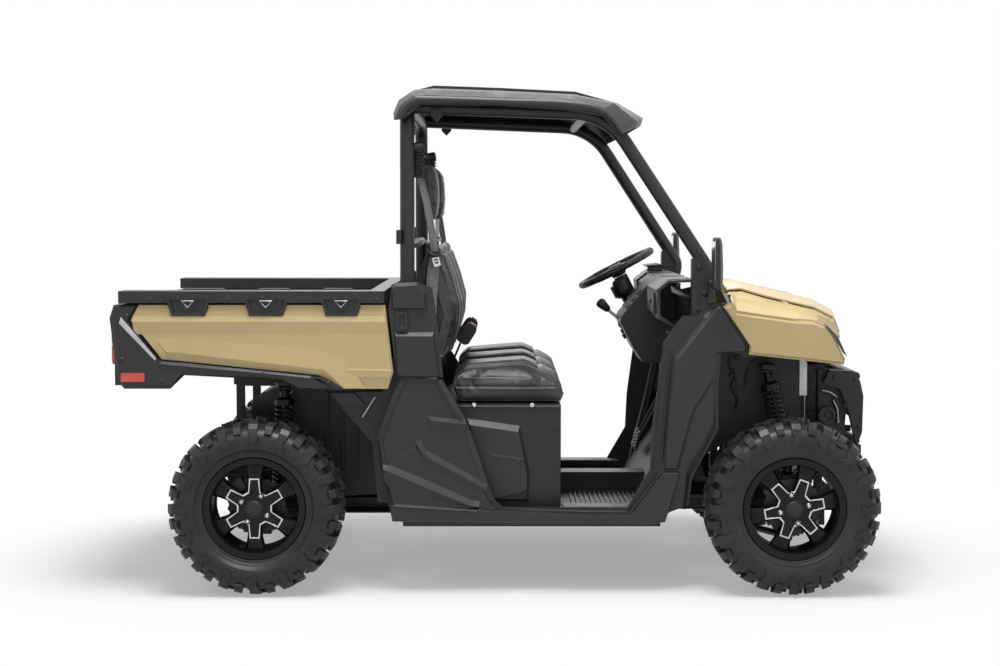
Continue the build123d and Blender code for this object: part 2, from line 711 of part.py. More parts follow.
SEAT_SIDE = [(-199, 800), (-175, 822), (120, 830), (226, 790), (257, 752), (242, 718), (-156, 718)]
SEAT_CROWN = [(-199, 826), (-175, 858), (100, 880), (236, 812), (258, 752), (242, 718), (-156, 718)]
BACK_SIDE = [(-214, 886), (-182, 1025), (-178, 1106), (-200, 1207), (-240, 1334), (-262, 1334), (-290, 1110),
             (-282, 886)]
BACK_CROWN = [(-196, 886), (-157, 1025), (-153, 1106), (-181, 1207), (-233, 1344), (-262, 1344), (-290, 1110),
              (-282, 886)]
HEADREST_SIDE = [(-281, 1660), (-262, 1640), (-257, 1520), (-262, 1420), (-300, 1420), (-310, 1640)]
SEAT_GAPS = [(-560, -190), (-184, 184), (190, 560)]


def crowned(edge, crown, low, high):
    """A pad across one place: flat edges and a higher middle."""
    step = (high - low) * 0.3
    return skin_loft([(low, edge), (low + step, crown), (high - step, crown), (high, edge)])


def seat_cushion():
    """A bench of three crowned places."""
    return group(*[crowned(SEAT_SIDE, SEAT_CROWN, low, high) for low, high in SEAT_GAPS])


def seat_back():
    """Three backrests on one upright shell."""
    pads = [crowned(BACK_SIDE, BACK_CROWN, low, high) for low, high in SEAT_GAPS]
    shell = plate([(-300, 650), (-300, 1110), (-272, 1340), (-280, 1340), (-308, 1112), (-308, 650)], -560, 560)
    return group(*pads, shell)


def headrests():
    pieces = []
    for y in (-375, 375):
        pad = plate(HEADREST_SIDE, y - 130, y + 130)
        posts = [rod((-276, y + dy, 1344), (-276, y + dy, 1440), 7) for dy in (-45, 45)]
        pieces.append(join(pad, *posts))
    return group(*pieces)


# ---- outer panels -----------------------------------------------------------------------
QUARTER_PANEL = [
    (-381, 829), (-221, 822), (-130, 669), (-76, 515), (-46, 419), (-23, 361), (8, 330), (490, 330), (555, 257),
    (-413, 276), (-428, 342), (-458, 488), (-473, 592), (-420, 740),
]
QUARTER_SHOULDER = [          # x, z, slope: the upper step of the moulded side
    (-277, 682, 16), (-330, 575, 6), (-440, 470, 6), (-416, 345, 6), (-405, 282, 6),
    (545, 266, 4), (484, 324, 6), (-2, 324, 6), (-34, 356, 6), (-56, 418, 6), (-86, 512, 6), (-134, 660, 16),
]
QUARTER_HIP = [               # the middle step
    (-321, 586, 18), (-436, 500, 6), (-440, 470, 6), (-416, 345, 6), (-402, 286, 6), (540, 270, 4), (482, 320, 6),
    (0, 320, 6), (-36, 352, 6), (-60, 402, 16), (-290, 546, 14),
]
ROCKER = [                    # the lower step, down to the sill
    (-446, 488, 8), (-404, 284, 8), (546, 264, 8), (486, 322, 6), (-30, 322, 18),
]
PILLAR_COVER = [
    (-414, 1183), (-399, 1191), (-315, 1195), (-258, 1172), (-236, 1012), (-217, 829), (-381, 829), (-398, 850),
    (-426, 1092),
]
PILLAR_CAP = [                # x, z, slope
    (-412, 1092, 4), (-277, 1090, 8), (-281, 1157, 12), (-315, 1194, 12), (-399, 1190, 10), (-413, 1180, 5),
]
PILLAR_FOOT = [
    (-380, 833, 3), (-228, 831, 6), (-252, 1004, 16), (-404, 1004, 5), (-395, 850, 4),
]
COWL_SIDE = [
    (493, 332), (575, 474), (582, 628), (625, 954), (697, 1065), (750, 1065), (822, 1114), (846, 1103), (948, 950),
    (944, 918), (847, 927), (836, 820), (836, 629), (737, 441), (724, 336), (658, 311), (555, 257),
]
COWL_FIELD = [                # x, z, slope
    (592, 326, 4), (717, 320, 18), (731, 442, 28), (829, 627, 14), (826, 822, 12), (842, 932, 10), (940, 924, 4),
    (942, 946, 4), (844, 1098, 5), (826, 1106, 16), (762, 1057, 22), (694, 958, 22), (655, 914, 18), (630, 596, 16),
    (606, 478, 14),
]
PANEL_Y = (690.0, 715.0)
COWL_Y = (680.0, 700.0)


def quarter_panels():
    """The stepped panels between the doorway and the rear wheel, with the rocker."""
    base = plate(QUARTER_PANEL, PANEL_Y[0], PANEL_Y[0] + 9)
    steps = []
    for rows, y_high in [(QUARTER_SHOULDER, 704), (QUARTER_HIP, 710), (ROCKER, 716)]:
        steps.append(field(rows, PANEL_Y[0] + 1, y_high))
    return both_sides(join(base, *steps))


def pillar_covers():
    """The moulded cover at the foot of each B pillar: a cap, a recess with its handle and a lower field."""
    base = plate(PILLAR_COVER, PANEL_Y[0], PANEL_Y[0] + 10)
    cap = field(PILLAR_CAP, PANEL_Y[0] + 9, PANEL_Y[1] + 1)
    lower = field(PILLAR_FOOT, PANEL_Y[0] + 9, PANEL_Y[1] - 3)
    handle = cut(block((-396, -352), (699, 712), (1012, 1082)), block((-386, -362), (704, 713), (1024, 1070)))
    return both_sides(join(base, cap, lower, handle))


def cowl_sides():
    """The front body sides, with the inner liners behind the front wheels."""
    outer = join(plate(COWL_SIDE, COWL_Y[0], COWL_Y[0] + 11), field(COWL_FIELD, COWL_Y[0] + 10, COWL_Y[1] + 2))
    liner = block((718, 724), (CAB_HALF - 59, 690), (345, 648))
    shelf = block((718, 832), (CAB_HALF - 59, 690), (642, 648))
    return both_sides(join(outer, liner, shelf))


HOOD_MIDDLE = [(900, 1176), (952, 1180), (1050, 1156), (1250, 1112), (1332, 1070), (1360, 998)]
HOOD_VALLEY = [(900, 1170), (952, 1170), (1050, 1144), (1250, 1100), (1328, 1060), (1356, 996)]
HOOD_EDGE = [(896, 1160), (946, 1162), (1044, 1134), (1232, 1090), (1308, 1052), (1334, 990)]
FENDER_CREASE = [(896, 1150), (914, 1132), (1040, 1110), (1159, 1090), (1228, 1066), (1262, 1014)]
FENDER_SHOULDER = [(890, 1114), (902, 1086), (1010, 1070), (1111, 1056), (1180, 1036), (1236, 992)]
FENDER_SIDE = [
    (850, 1102), (870, 1112), (890, 1114), (902, 1086), (1111, 1056), (1192, 1050), (1242, 1026), (1269, 1004),
    (1305, 923), (1318, 902), (1313, 878), (950, 917), (953, 950),
]
FENDER_FIELD = [              # x, z, slope
    (856, 1096, 3), (954, 948, 3), (952, 920, 8), (1312, 881, 8), (1312, 902, 5), (1262, 1002, 6), (1236, 1024, 8),
    (1190, 1046, 14), (1111, 1052, 14), (902, 1082, 10), (886, 1108, 4),
]
HOOD_HALF = 495.0
FENDER_Y = 700.0


def hood():
    """The opening nose panel, crowned across."""
    stations = [
        (-HOOD_HALF, sheet_outline(HOOD_EDGE, 6, 5)),
        (-330, sheet_outline(HOOD_MIDDLE, 6, 5)),
        (-200, sheet_outline(HOOD_MIDDLE, 6, 5)),
        (-160, sheet_outline(HOOD_VALLEY, 6, 5)),
        (160, sheet_outline(HOOD_VALLEY, 6, 5)),
        (200, sheet_outline(HOOD_MIDDLE, 6, 5)),
        (330, sheet_outline(HOOD_MIDDLE, 6, 5)),
        (HOOD_HALF, sheet_outline(HOOD_EDGE, 6, 5)),
    ]
    skin = skin_loft(stations)
    hinge = [block((HOOD_PIVOT_X - 9, 930), (y - 10, y + 10), (HOOD_PIVOT_Z - 9, HOOD_PIVOT_Z + 28))
             for y in (-260, 260)]
    trim = plate([(870, 1100), (870, 1164), (896, 1168), (906, 1166), (870, 1220)], -300, 300)
    bore = along_y(5 + RUNNING_GAP, -280, 280, HOOD_PIVOT_X, HOOD_PIVOT_Z)
    return cut(join(skin, *hinge), trim, bore)


def fenders():
    """The fixed front wings: a rolled top and a flat side."""
    stations = [
        (HOOD_HALF + 6, sheet_outline([(x, z - 12) for x, z in HOOD_EDGE], 6, 5)),
        (HOOD_HALF + 30, sheet_outline([(x - 4, z - 18) for x, z in HOOD_EDGE], 6, 5)),
        (600, sheet_outline(FENDER_CREASE, 6, 5)),
        (618, sheet_outline([(x - 3, z - 16) for x, z in FENDER_CREASE], 6, 5)),
        (FENDER_Y, sheet_outline(FENDER_SHOULDER, 6, 5)),
    ]
    top = skin_loft(stations)
    side = join(plate(FENDER_SIDE, FENDER_Y - 8, FENDER_Y - 3), field(FENDER_FIELD, FENDER_Y - 4, FENDER_Y + 5))
    return both_sides(join(top, side))


NOSE_STATIONS = [             # y, front x, lower z, upper z
    (-676, 1262, 884, 944), (-500, 1306, 856, 980), (-300, 1322, 846, 984), (300, 1322, 846, 984),
    (500, 1306, 856, 980), (676, 1262, 884, 944),
]
LAMP_STATIONS = [
    (330, 1319.6, 904, 966), (500, 1306, 900, 964), (650, 1268, 904, 936),
]


def fascia():
    """The dark nose: a slotted grille that sweeps back round the lamps."""
    nose = skin_loft([(y, [(x - 40, z_low), (x, z_low), (x, z_high), (x - 40, z_high)])
                      for y, x, z_low, z_high in NOSE_STATIONS])
    slots = [block((1230, 1340), (-250, 250), (z, z + 18)) for z in (868, 902, 936)]
    bars = [block((1286, 1300), (y - 8, y + 8), (860, 962)) for y in (-160, -80, 0, 80, 160)]
    pockets = both_sides(skin_loft([(y, [(x - 26, z_low), (x + 9, z_low), (x + 9, z_high), (x - 26, z_high)])
                                    for y, x, z_low, z_high in LAMP_STATIONS]))
    return join(cut(nose, *slots, pockets), *bars)


def headlamps():
    """A slim lamp in each corner of the nose."""
    unit = skin_loft([(y, [(x - 24, z_low + 2), (x - 2, z_low + 2), (x - 2, z_high - 2), (x - 24, z_high - 2)])
                      for y, x, z_low, z_high in LAMP_STATIONS])
    return both_sides(unit)


BUMPER_SIDE = [(1300, 776), (1326, 827), (1419, 823), (1448, 782), (1461, 721), (1458, 579), (1439, 518),
               (1426, 560), (1401, 668), (1367, 750)]


def bumper():
    """The front guard: two shaped side plates and the tubes between them."""
    sides = [plate(BUMPER_SIDE, y - 16, y + 16) for y in (-330, 330)]
    bars = [rod((x, -330, z), (x, 330, z), 18) for x, z in [(1432, 800), (1442, 640), (1434, 540)]]
    stays = [block((1316, 1430), (y - 14, y + 14), (568, 592)) for y in (-240, 240)]
    tow = plate([(1310, 440), (1430, 440), (1486, 452), (1486, 503), (1446, 520), (1310, 520)], -190, 190)
    tow_hollow = block((1300, 1440), (-170, 170), (452, 508))
    return join(*sides, *bars, *stays, cut(tow, tow_hollow))


DASH_SIDE = [(604, 1160), (650, 1196), (749, 1200), (850, 1162), (854, 1154), (746, 1190), (654, 1186), (618, 1154),
             (622, 1060), (680, 1022), (676, 1014), (612, 1046)]
CONSOLE_SIDE = [(640, 1190), (604, 1160), (500, 1030), (496, 1008), (550, 900), (590, 840), (716, 840), (716, 1060),
                (700, 1180)]


def dashboard():
    """The dash across the cab with its middle console and the scuttle."""
    skin = plate(DASH_SIDE, -600, 600)
    console = plate(CONSOLE_SIDE, -150, 150)
    tray = block((676, 716), (-600, 600), (1010, 1018))
    slot = join(
        block((560, 650), (STEERING_Y - 62, STEERING_Y + 62), (940, 1210)),
        block((560, 690), (STEERING_Y - 62, STEERING_Y + 62), (940, 1150)),
    )
    bracket = [block((612, 716), (y - 6, y + 6), (930, 1016)) for y in (STEERING_Y - 56, STEERING_Y + 56)]
    pivot = along_y(9 + RUNNING_GAP, STEERING_Y - 64, STEERING_Y + 64, *column_pivot())
    return cut(join(cut(join(skin, tray), slot), console, *bracket), pivot)


def pedals():
    """The accelerator and brake, each a pad on a hanging arm."""
    pieces = []
    for y, half in [(290, 26), (400, 42)]:
        arm = rod((700, y, 640), (610, y, 470), 8)
        pad = plate([(600, 420), (622, 500), (610, 504), (588, 424)], y - half, y + half)
        foot = block((700, 717.5), (y - 20, y + 20), (620, 660))
        pieces.append(join(arm, pad, foot))
    return group(*pieces)


# ---- cargo bed ----------------------------------------------------------------------------
def bed_tub():
    """A floor with three walls on two bearers, hinged near the back."""
    tub = block((BED_REAR_X, BED_FRONT_X), (-BED_INNER_Y, BED_INNER_Y), (BED_FLOOR_Z - 6, 1114))
    inside = block((BED_REAR_X - 1, BED_FRONT_X - 6), (-BED_INNER_Y + 6, BED_INNER_Y - 6), (BED_FLOOR_Z, 1120))
    bearer = block((-1400, -450), (BULKHEAD_Y - 52, BULKHEAD_Y - 22), (818, BED_FLOOR_Z - 5))
    lug = block((BED_PIVOT_X - 22, BED_PIVOT_X + 22), (BULKHEAD_Y - 52, BULKHEAD_Y - 22), (768, 820))
    pin = along_y(10, BULKHEAD_Y - 52, BULKHEAD_Y + 18, BED_PIVOT_X, BED_PIVOT_Z)
    strut_ear = block((STRUT_HIGH[0] - 16, STRUT_HIGH[0] + 16), (STRUT_Y - 34, STRUT_Y - 22), (812, 858))
    frames = both_sides(join(bearer, lug, pin))
    return join(cut(tub, inside), frames, strut_ear)


BED_PANEL = [                 # x, z, slope
    (-1375, 1107, 3), (-1408, 1048, 4), (-1290, 900, 26), (-693, 840, 26), (-593, 787, 54), (-428, 787, 8),
    (-407, 850, 8), (-437, 1107, 55),
]
BED_TOWER = [
    (-1470, 1107, 8), (-1486, 1058, 13), (-1459, 817, 13), (-1433, 787, 12), (-1258, 787, 10), (-1204, 839, 8),
    (-838, 820, 8), (-770, 785, 6), (-600, 781, 5), (-696, 834, 6), (-1295, 896, 6), (-1413, 1046, 5),
    (-1380, 1107, 6),
]
LATCHES = [(-1267, -1104), (-971, -808), (-679, -527)]    # each latch along the rim


def latch(x_low, x_high, grow):
    """A latch's outline under the rim, wider at the top."""
    slant = 18 * (x_high - x_low) / 163
    return [(x_low - grow, 1119), (x_low + slant - grow, 1068 - grow), (x_high - slant + grow, 1068 - grow),
            (x_high + grow, 1119)]


def bed_sides():
    """The coloured outer side panels, notched for the latches."""
    outline = [(x, z) for x, z, _ in BED_PANEL]
    panel = join(plate(outline, BED_SIDE_Y - 12, BED_SIDE_Y - 8), field(BED_PANEL, BED_SIDE_Y - 9, BED_SIDE_Y + 1))
    notches = [plate(latch(*ends, 1), BED_SIDE_Y - 14, BED_SIDE_Y + 4) for ends in LATCHES]
    return both_sides(cut(panel, *notches))


def bed_corners():
    """Dark rear corners that run forward under the coloured panels."""
    outline = [(x, z) for x, z, _ in BED_TOWER]
    outer = join(plate(outline, BED_SIDE_Y - 13, BED_SIDE_Y - 6), field(BED_TOWER, BED_SIDE_Y - 7, BED_SIDE_Y + 3))
    back = cross_plate([(616, 800), (702, 800), (702, 1107), (616, 1107)], -1470, -1446)
    floor_lip = block((-1446, -460), (BED_INNER_Y + 0.5, BED_SIDE_Y - 12.5), (856, 862))
    return both_sides(join(outer, back, floor_lip))


def bed_rails():
    """The rim around the top of the bed, with three recessed latches on each side."""
    side = block((-1450, BED_FRONT_X), (BED_INNER_Y - 6, BED_SIDE_Y + 6), (1115, BED_RIM_TOP))
    front = block((BED_FRONT_X - 60, BED_FRONT_X), (-BED_INNER_Y, BED_INNER_Y), (1115, BED_RIM_TOP))
    plates = [plate(latch(*ends, 0), BED_SIDE_Y - 12, BED_SIDE_Y + 5) for ends in LATCHES]
    recesses = []
    for low, high in LATCHES:
        recess = [(low + 10, 1128), (low + 28, 1078), (high - 28, 1078), (high - 10, 1128)]
        recesses.append(plate(recess, BED_SIDE_Y - 4, BED_SIDE_Y + 8))
    return cut(join(both_sides(join(side, *plates)), front), both_sides(group(*recesses)))


def tail_lamps():
    """A lamp on each rear corner and the marker on each side."""
    lamp = block((-1480, -1470.5), (628, 696), (880, 1040))
    marker = block((-1444, -1353), (BED_SIDE_Y + 3, BED_SIDE_Y + 7), (814, 848))
    return both_sides(group(lamp, marker))


def tailgate():
    """The drop gate: a ribbed panel on two hinge barrels."""
    panel = block((-1464, -1446), (-606, 606), (866, 1108))
    back_ribs = [block((-1472, -1460), (y - 20, y + 20), (880, 1100)) for y in (-480, -240, 0, 240, 480)]
    rim = block((-1474, -1446), (-606, 606), (1088, 1108))
    barrels = []
    for y in (-420, 420):
        barrels.append(along_y(11, y - 50, y + 50, TAILGATE_PIVOT_X, TAILGATE_PIVOT_Z))
        barrels.append(block((-1464, -1452), (y - 50, y + 50), (TAILGATE_PIVOT_Z, 870)))
    handle = block((-1482, -1470), (-90, 90), (1040, 1070))
    return join(panel, *back_ribs, rim, *barrels, handle)


# ---- bed strut --------------------------------------------------------------------------------
def strut_point(share):
    x = STRUT_LOW[0] + (STRUT_HIGH[0] - STRUT_LOW[0]) * share
    z = STRUT_LOW[1] + (STRUT_HIGH[1] - STRUT_LOW[1]) * share
    return (x, STRUT_Y, z)


def build_strut():
    body = rod(strut_point(0.0), strut_point(0.82), 13)
    bore = rod(strut_point(0.06), strut_point(0.83), 6 + RUNNING_GAP)
    eye = along_y(15, STRUT_Y - 12, STRUT_Y + 12, *STRUT_LOW)
    pin = along_y(6, STRUT_Y - 36, STRUT_Y + 12, *STRUT_LOW)
    save("strut_barrel", join(cut(join(body, eye), bore), pin))
    bar = rod(strut_point(0.10), strut_point(0.955), 6)
    ball = along_y(14, STRUT_Y - 8, STRUT_Y + 12, *STRUT_HIGH)
    save("strut_rod", join(bar, ball))


# ---- mirrors ------------------------------------------------------------------------------------
def mirror_arm():
    """A door mirror: a folding stalk and a tall head."""
    stalk = rod((MIRROR_PIVOT_X, MIRROR_PIVOT_Y, 1136), (MIRROR_PIVOT_X, MIRROR_PIVOT_Y, 1200), 14)
    reach = rod((MIRROR_PIVOT_X, MIRROR_PIVOT_Y, 1185), (816, 790, 1210), 11)
    head = block((798, 830), (740, 880), (1170, 1366))
    return join(stalk, reach, head)


def build_mirrors():
    left = mirror_arm()
    save("mirror_left", left)
    save("mirror_right", mirror(left, about=MIRROR_PLANE))
    foot = block((764, 826), (672, 679.5), (1056, 1136))
    arm = block((MIRROR_PIVOT_X - 16, MIRROR_PIVOT_X + 16), (672, 716), (1116, 1135))
    save("mirror_feet", both_sides(join(foot, arm)))


# ---- write every sub-part -----------------------------------------------------------------------
PARTS = {
    "skid_plates": skid_plates,
    "hitch": hitch,
    "driveline": driveline,
    "front_arms": front_arms,
    "rear_arms": rear_arms,
    "shocks": shocks,
    "engine": engine,
    "muffler": muffler,
    "radiator": radiator,
    "cab_frame": cab_frame,
    "roof": roof,
    "floor": floor,
    "seat_base": seat_base,
    "seat_cushion": seat_cushion,
    "seat_back": seat_back,
    "headrests": headrests,
    "quarter_panels": quarter_panels,
    "pillar_covers": pillar_covers,
    "cowl_sides": cowl_sides,
    "hood": hood,
    "fenders": fenders,
    "fascia": fascia,
    "headlamps": headlamps,
    "bumper": bumper,
    "dashboard": dashboard,
    "pedals": pedals,
    "bed_tub": bed_tub,
    "bed_sides": bed_sides,
    "bed_corners": bed_corners,
    "bed_rails": bed_rails,
    "tail_lamps": tail_lamps,
    "tailgate": tailgate,
}

for node, make in PARTS.items():
    save(node, make())
build_frame()
build_wheels()
build_steering()
build_column()
build_strut()
build_mirrors()
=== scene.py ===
import json
import math

import bmesh
import bpy
from mathutils import Matrix, Vector

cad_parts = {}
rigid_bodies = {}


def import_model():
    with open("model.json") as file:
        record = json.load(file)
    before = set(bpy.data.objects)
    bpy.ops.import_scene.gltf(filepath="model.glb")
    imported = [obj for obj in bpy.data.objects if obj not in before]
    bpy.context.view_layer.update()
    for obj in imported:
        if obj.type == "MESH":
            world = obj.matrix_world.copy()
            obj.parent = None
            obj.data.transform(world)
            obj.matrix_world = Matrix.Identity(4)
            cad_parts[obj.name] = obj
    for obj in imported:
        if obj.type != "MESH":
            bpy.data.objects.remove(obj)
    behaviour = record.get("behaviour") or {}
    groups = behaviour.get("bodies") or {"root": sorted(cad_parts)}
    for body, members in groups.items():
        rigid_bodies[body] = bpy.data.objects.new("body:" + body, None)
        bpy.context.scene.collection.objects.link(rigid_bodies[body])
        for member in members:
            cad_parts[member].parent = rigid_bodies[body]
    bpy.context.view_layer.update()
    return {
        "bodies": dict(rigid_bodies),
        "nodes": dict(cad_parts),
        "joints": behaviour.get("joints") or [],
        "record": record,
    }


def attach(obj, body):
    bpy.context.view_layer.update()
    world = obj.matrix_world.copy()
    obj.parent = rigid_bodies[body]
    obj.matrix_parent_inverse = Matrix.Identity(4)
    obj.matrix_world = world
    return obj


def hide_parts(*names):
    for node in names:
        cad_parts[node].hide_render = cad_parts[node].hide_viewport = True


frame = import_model()
nodes = frame["nodes"]

SIDES = {"left": 1, "right": -1}
WELD = 0.00002                # metres, below which two corners are one


# ---- places and mesh helpers ---------------------------------------------------------
def spaced(start, step, count):
    """Places at an even distance from each other."""
    return [start + step * k for k in range(count)]


def both_sides(inner, outer):
    """The lowest and highest y of one stretch on the right and on the left."""
    return [(-outer, -inner), (inner, outer)]


def full_turn(count):
    """Angles at even steps round a circle."""
    return [2 * math.pi * k / count for k in range(count)]


def bell(distance, width):
    """1 at no distance, fading to 0 over about twice the width."""
    return math.exp(-((distance / width) ** 2))


def new_object(name, bm, smooth_angle=None):
    """An object in the scene from a bmesh, with outward normals."""
    bmesh.ops.recalc_face_normals(bm, faces=bm.faces)
    mesh = bpy.data.meshes.new(name)
    bm.to_mesh(mesh)
    bm.free()
    obj = bpy.data.objects.new(name, mesh)
    bpy.context.scene.collection.objects.link(obj)
    if smooth_angle is not None:
        mesh.shade_smooth()
        mesh.set_sharp_from_angle(angle=math.radians(smooth_angle))
    return obj


def finish_edges(obj, width, segments=2, angle=30, weld=False):
    """Rounded edges and even shading, by modifiers."""
    if weld:
        merge = obj.modifiers.new("weld", "WELD")
        merge.merge_threshold = WELD
    bevel = obj.modifiers.new("bevel", "BEVEL")
    bevel.width = width
    bevel.segments = segments
    bevel.limit_method = "ANGLE"
    bevel.angle_limit = math.radians(angle)
    bevel.harden_normals = False
    obj.data.shade_smooth()
    normals = obj.modifiers.new("normals", "WEIGHTED_NORMAL")
    normals.keep_sharp = True
    normals.weight = 80
    return obj


def add_box(bm, low, high):
    """A box between two corners."""
    size = Vector(high) - Vector(low)
    middle = (Vector(high) + Vector(low)) / 2
    matrix = Matrix.Translation(middle) @ Matrix.Diagonal((*size, 1.0))
    return bmesh.ops.create_cube(bm, size=1.0, matrix=matrix)["verts"]


def add_bar(bm, start, end, radius, sides=16, end_radius=None):
    """A round bar between two points."""
    start = Vector(start)
    end = Vector(end)
    along = end - start
    turn = along.to_track_quat("Z", "Y").to_matrix().to_4x4()
    matrix = Matrix.Translation((start + end) / 2) @ turn
    far = radius if end_radius is None else end_radius
    made = bmesh.ops.create_cone(
        bm, cap_ends=True, segments=sides, radius1=radius, radius2=far, depth=along.length, matrix=matrix
    )
    return made["verts"]


def side_place(x, z, y):
    return Vector((x, y, z))


def front_place(y, z, x):
    return Vector((x, y, z))


def add_band(bm, first, second, closed=True):
    """Quads between two rings of vertices."""
    count = len(first)
    for k in range(count if closed else count - 1):
        after = (k + 1) % count
        bm.faces.new((first[k], first[after], second[after], second[k]))


def add_prism(bm, outline, low, high, place=side_place):
    """A closed outline of (a, b) points swept from low to high; place(a, b, c) gives each corner."""
    bottom = [bm.verts.new(place(a, b, low)) for a, b in outline]
    top = [bm.verts.new(place(a, b, high)) for a, b in outline]
    bm.faces.new(bottom[::-1])
    bm.faces.new(top)
    add_band(bm, bottom, top)


def add_plate(bm, corners, half):
    """A plate between upright sides, half as thick on each side of the corners' plane."""
    y = corners[0].y
    add_prism(bm, [(corner.x, corner.z) for corner in corners], y - half, y + half)


def add_loft(bm, rings):
    """A closed solid through rings of points that have the same length."""
    made = [[bm.verts.new(point) for point in ring] for ring in rings]
    for first, second in zip(made, made[1:]):
        add_band(bm, first, second)
    bm.faces.new(made[0][::-1])
    bm.faces.new(made[-1])


def add_tube(bm, points, radius, sides=12, closed=False):
    """A round tube along points, with a frame carried along so that it does not twist."""
    points = [Vector(p) for p in points]
    count = len(points)
    rings = []
    normal = None
    for k, point in enumerate(points):
        if closed:
            ahead = points[(k + 1) % count] - points[k - 1]
        else:
            ahead = points[min(k + 1, count - 1)] - points[max(k - 1, 0)]
        ahead.normalize()
        if normal is None:
            normal = ahead.orthogonal().normalized()
        normal = (normal - ahead * normal.dot(ahead)).normalized()
        side = ahead.cross(normal)
        ring = []
        for turn in full_turn(sides):
            out = normal * math.cos(turn)
            ring.append(bm.verts.new(point + out * radius + side * math.sin(turn) * radius))
        rings.append(ring)
    for first, second in zip(rings, rings[1:] + rings[:1] if closed else rings[1:]):
        add_band(bm, first, second)
    if not closed:
        bm.faces.new(rings[0][::-1])
        bm.faces.new(rings[-1])


def add_lathe(bm, profile, segments, centre, closed=True):
    """A profile of (radius, y) points turned about the axle through centre."""
    centre = Vector(centre)
    rings = []
    for turn in full_turn(segments):
        ring = []
        for radius, y in profile:
            ring.append(bm.verts.new(centre + Vector((radius * math.cos(turn), y, radius * math.sin(turn)))))
        rings.append(ring)
    for first, second in zip(rings, rings[1:] + rings[:1]):
        add_band(bm, first, second, closed)


def mirrored(bm):
    """Adds the mirror image of everything in the bmesh across the vehicle's middle plane."""
    copy = bmesh.ops.duplicate(bm, geom=bm.verts[:] + bm.edges[:] + bm.faces[:])["geom"]
    verts = [item for item in copy if isinstance(item, bmesh.types.BMVert)]
    faces = [item for item in copy if isinstance(item, bmesh.types.BMFace)]
    for vert in verts:
        vert.co.y = -vert.co.y
    bmesh.ops.reverse_faces(bm, faces=faces)


# ---- materials -----------------------------------------------------------------------
def srgb(red, green, blue):
    """Linear colour from 0 to 255 screen values."""
    values = []
    for level in (red, green, blue):
        share = level / 255
        values.append(share / 12.92 if share <= 0.04045 else ((share + 0.055) / 1.055) ** 2.4)
    return (*values, 1.0)


def add_node(tree, kind, **values):
    """A shader node whose named inputs are set; an underscore in a name stands for a space."""
    node = tree.nodes.new("ShaderNode" + kind)
    for name, value in values.items():
        node.inputs[name.replace("_", " ")].default_value = value
    return node


class Shader:
    """A node material with short helpers for the few nodes used here."""

    def __init__(self, name):
        self.material = bpy.data.materials.new(name)
        self.material.use_nodes = True
        self.tree = self.material.node_tree
        self.bsdf = self.tree.nodes["Principled BSDF"]
        self.coords = add_node(self.tree, "TexCoord").outputs["Object"]

    def link(self, output, target):
        self.tree.links.new(output, target)

    def node(self, kind, source, socket="Vector", **values):
        """A new node with its values set and its input socket fed by source."""
        made = add_node(self.tree, kind, **values)
        self.link(source, made.inputs[socket])
        return made

    def noise(self, scale, detail):
        return self.node("TexNoise", self.coords, Scale=scale, Detail=detail).outputs["Fac"]

    def cells(self, scale):
        return self.node("TexVoronoi", self.coords, Scale=scale).outputs["Distance"]

    def waves(self, scale, direction):
        bands = self.node("TexWave", self.coords, Scale=scale)
        bands.bands_direction = direction
        return bands.outputs["Fac"]

    def ramp(self, factor, stops):
        node = self.node("ValToRGB", factor, "Fac")
        ramp = node.color_ramp
        while len(ramp.elements) < len(stops):
            ramp.elements.new(0.5)
        for element, (position, colour) in zip(ramp.elements, stops):
            element.position = position
            element.color = colour
        return node.outputs["Color"]

    def span(self, factor, low, high):
        return self.node("MapRange", factor, "Value", To_Min=low, To_Max=high).outputs["Result"]

    def bump(self, *layers):
        """Stacked bumps: (height, strength, distance in metres)."""
        normal = None
        for height, strength, distance in layers:
            node = self.node("Bump", height, "Height", Strength=strength, Distance=distance)
            if normal is not None:
                self.link(normal, node.inputs["Normal"])
            normal = node.outputs["Normal"]
        self.link(normal, self.bsdf.inputs["Normal"])

    def set(self, **values):
        for name, value in values.items():
            self.bsdf.inputs[name.replace("_", " ")].default_value = value

    def colour(self, output):
        self.link(output, self.bsdf.inputs["Base Color"])

    def roughness(self, output):
        self.link(output, self.bsdf.inputs["Roughness"])


def shade(level):
    return (level, level, level, 1.0)


def tint(colour, factor):
    return (colour[0] * factor, colour[1] * factor, colour[2] * factor, 1.0)


def surface(name, low, high, mottle, gloss, bumps, **values):
    """A material from one noise for its colour, one for its roughness and a stack of bumps.

    mottle: scale and detail of the colour's noise. gloss: lowest and highest roughness, then the
    scale and detail of its noise. bumps: (pattern, its values, strength, metres).
    """
    s = Shader(name)
    patterns = {"noise": s.noise, "cells": s.cells, "waves": s.waves}
    s.colour(s.ramp(s.noise(*mottle), [(0.3, low), (0.7, high)]))
    s.roughness(s.span(s.noise(*gloss[2:]), *gloss[:2]))
    s.bump(*((patterns[kind](*made), strength, distance) for kind, made, strength, distance in bumps))
    s.set(**values)
    return s.material


def moulded_plastic(name, colour, grain=900.0, rough=(0.38, 0.52)):
    """Pigmented plastic with a spark eroded grain."""
    bumps = (("cells", (grain,), 0.35, 0.0002), ("noise", (14, 2), 0.12, 0.002))
    return surface(name, tint(colour, 0.88), tint(colour, 1.12), (3.5, 3), (*rough, 26, 3), bumps,
                   Specular_IOR_Level=0.4)


def powder_coat(name, level, rough=(0.34, 0.46), gloss=0.35):
    """An even coat of one grey level: black powder coat, gloss black paint or zinc plate."""
    return surface(name, shade(level * 0.85), shade(level * 1.2), (8, 3), (*rough, 60, 3),
                   (("noise", (420, 2), 0.08, 0.0004),), Specular_IOR_Level=gloss)


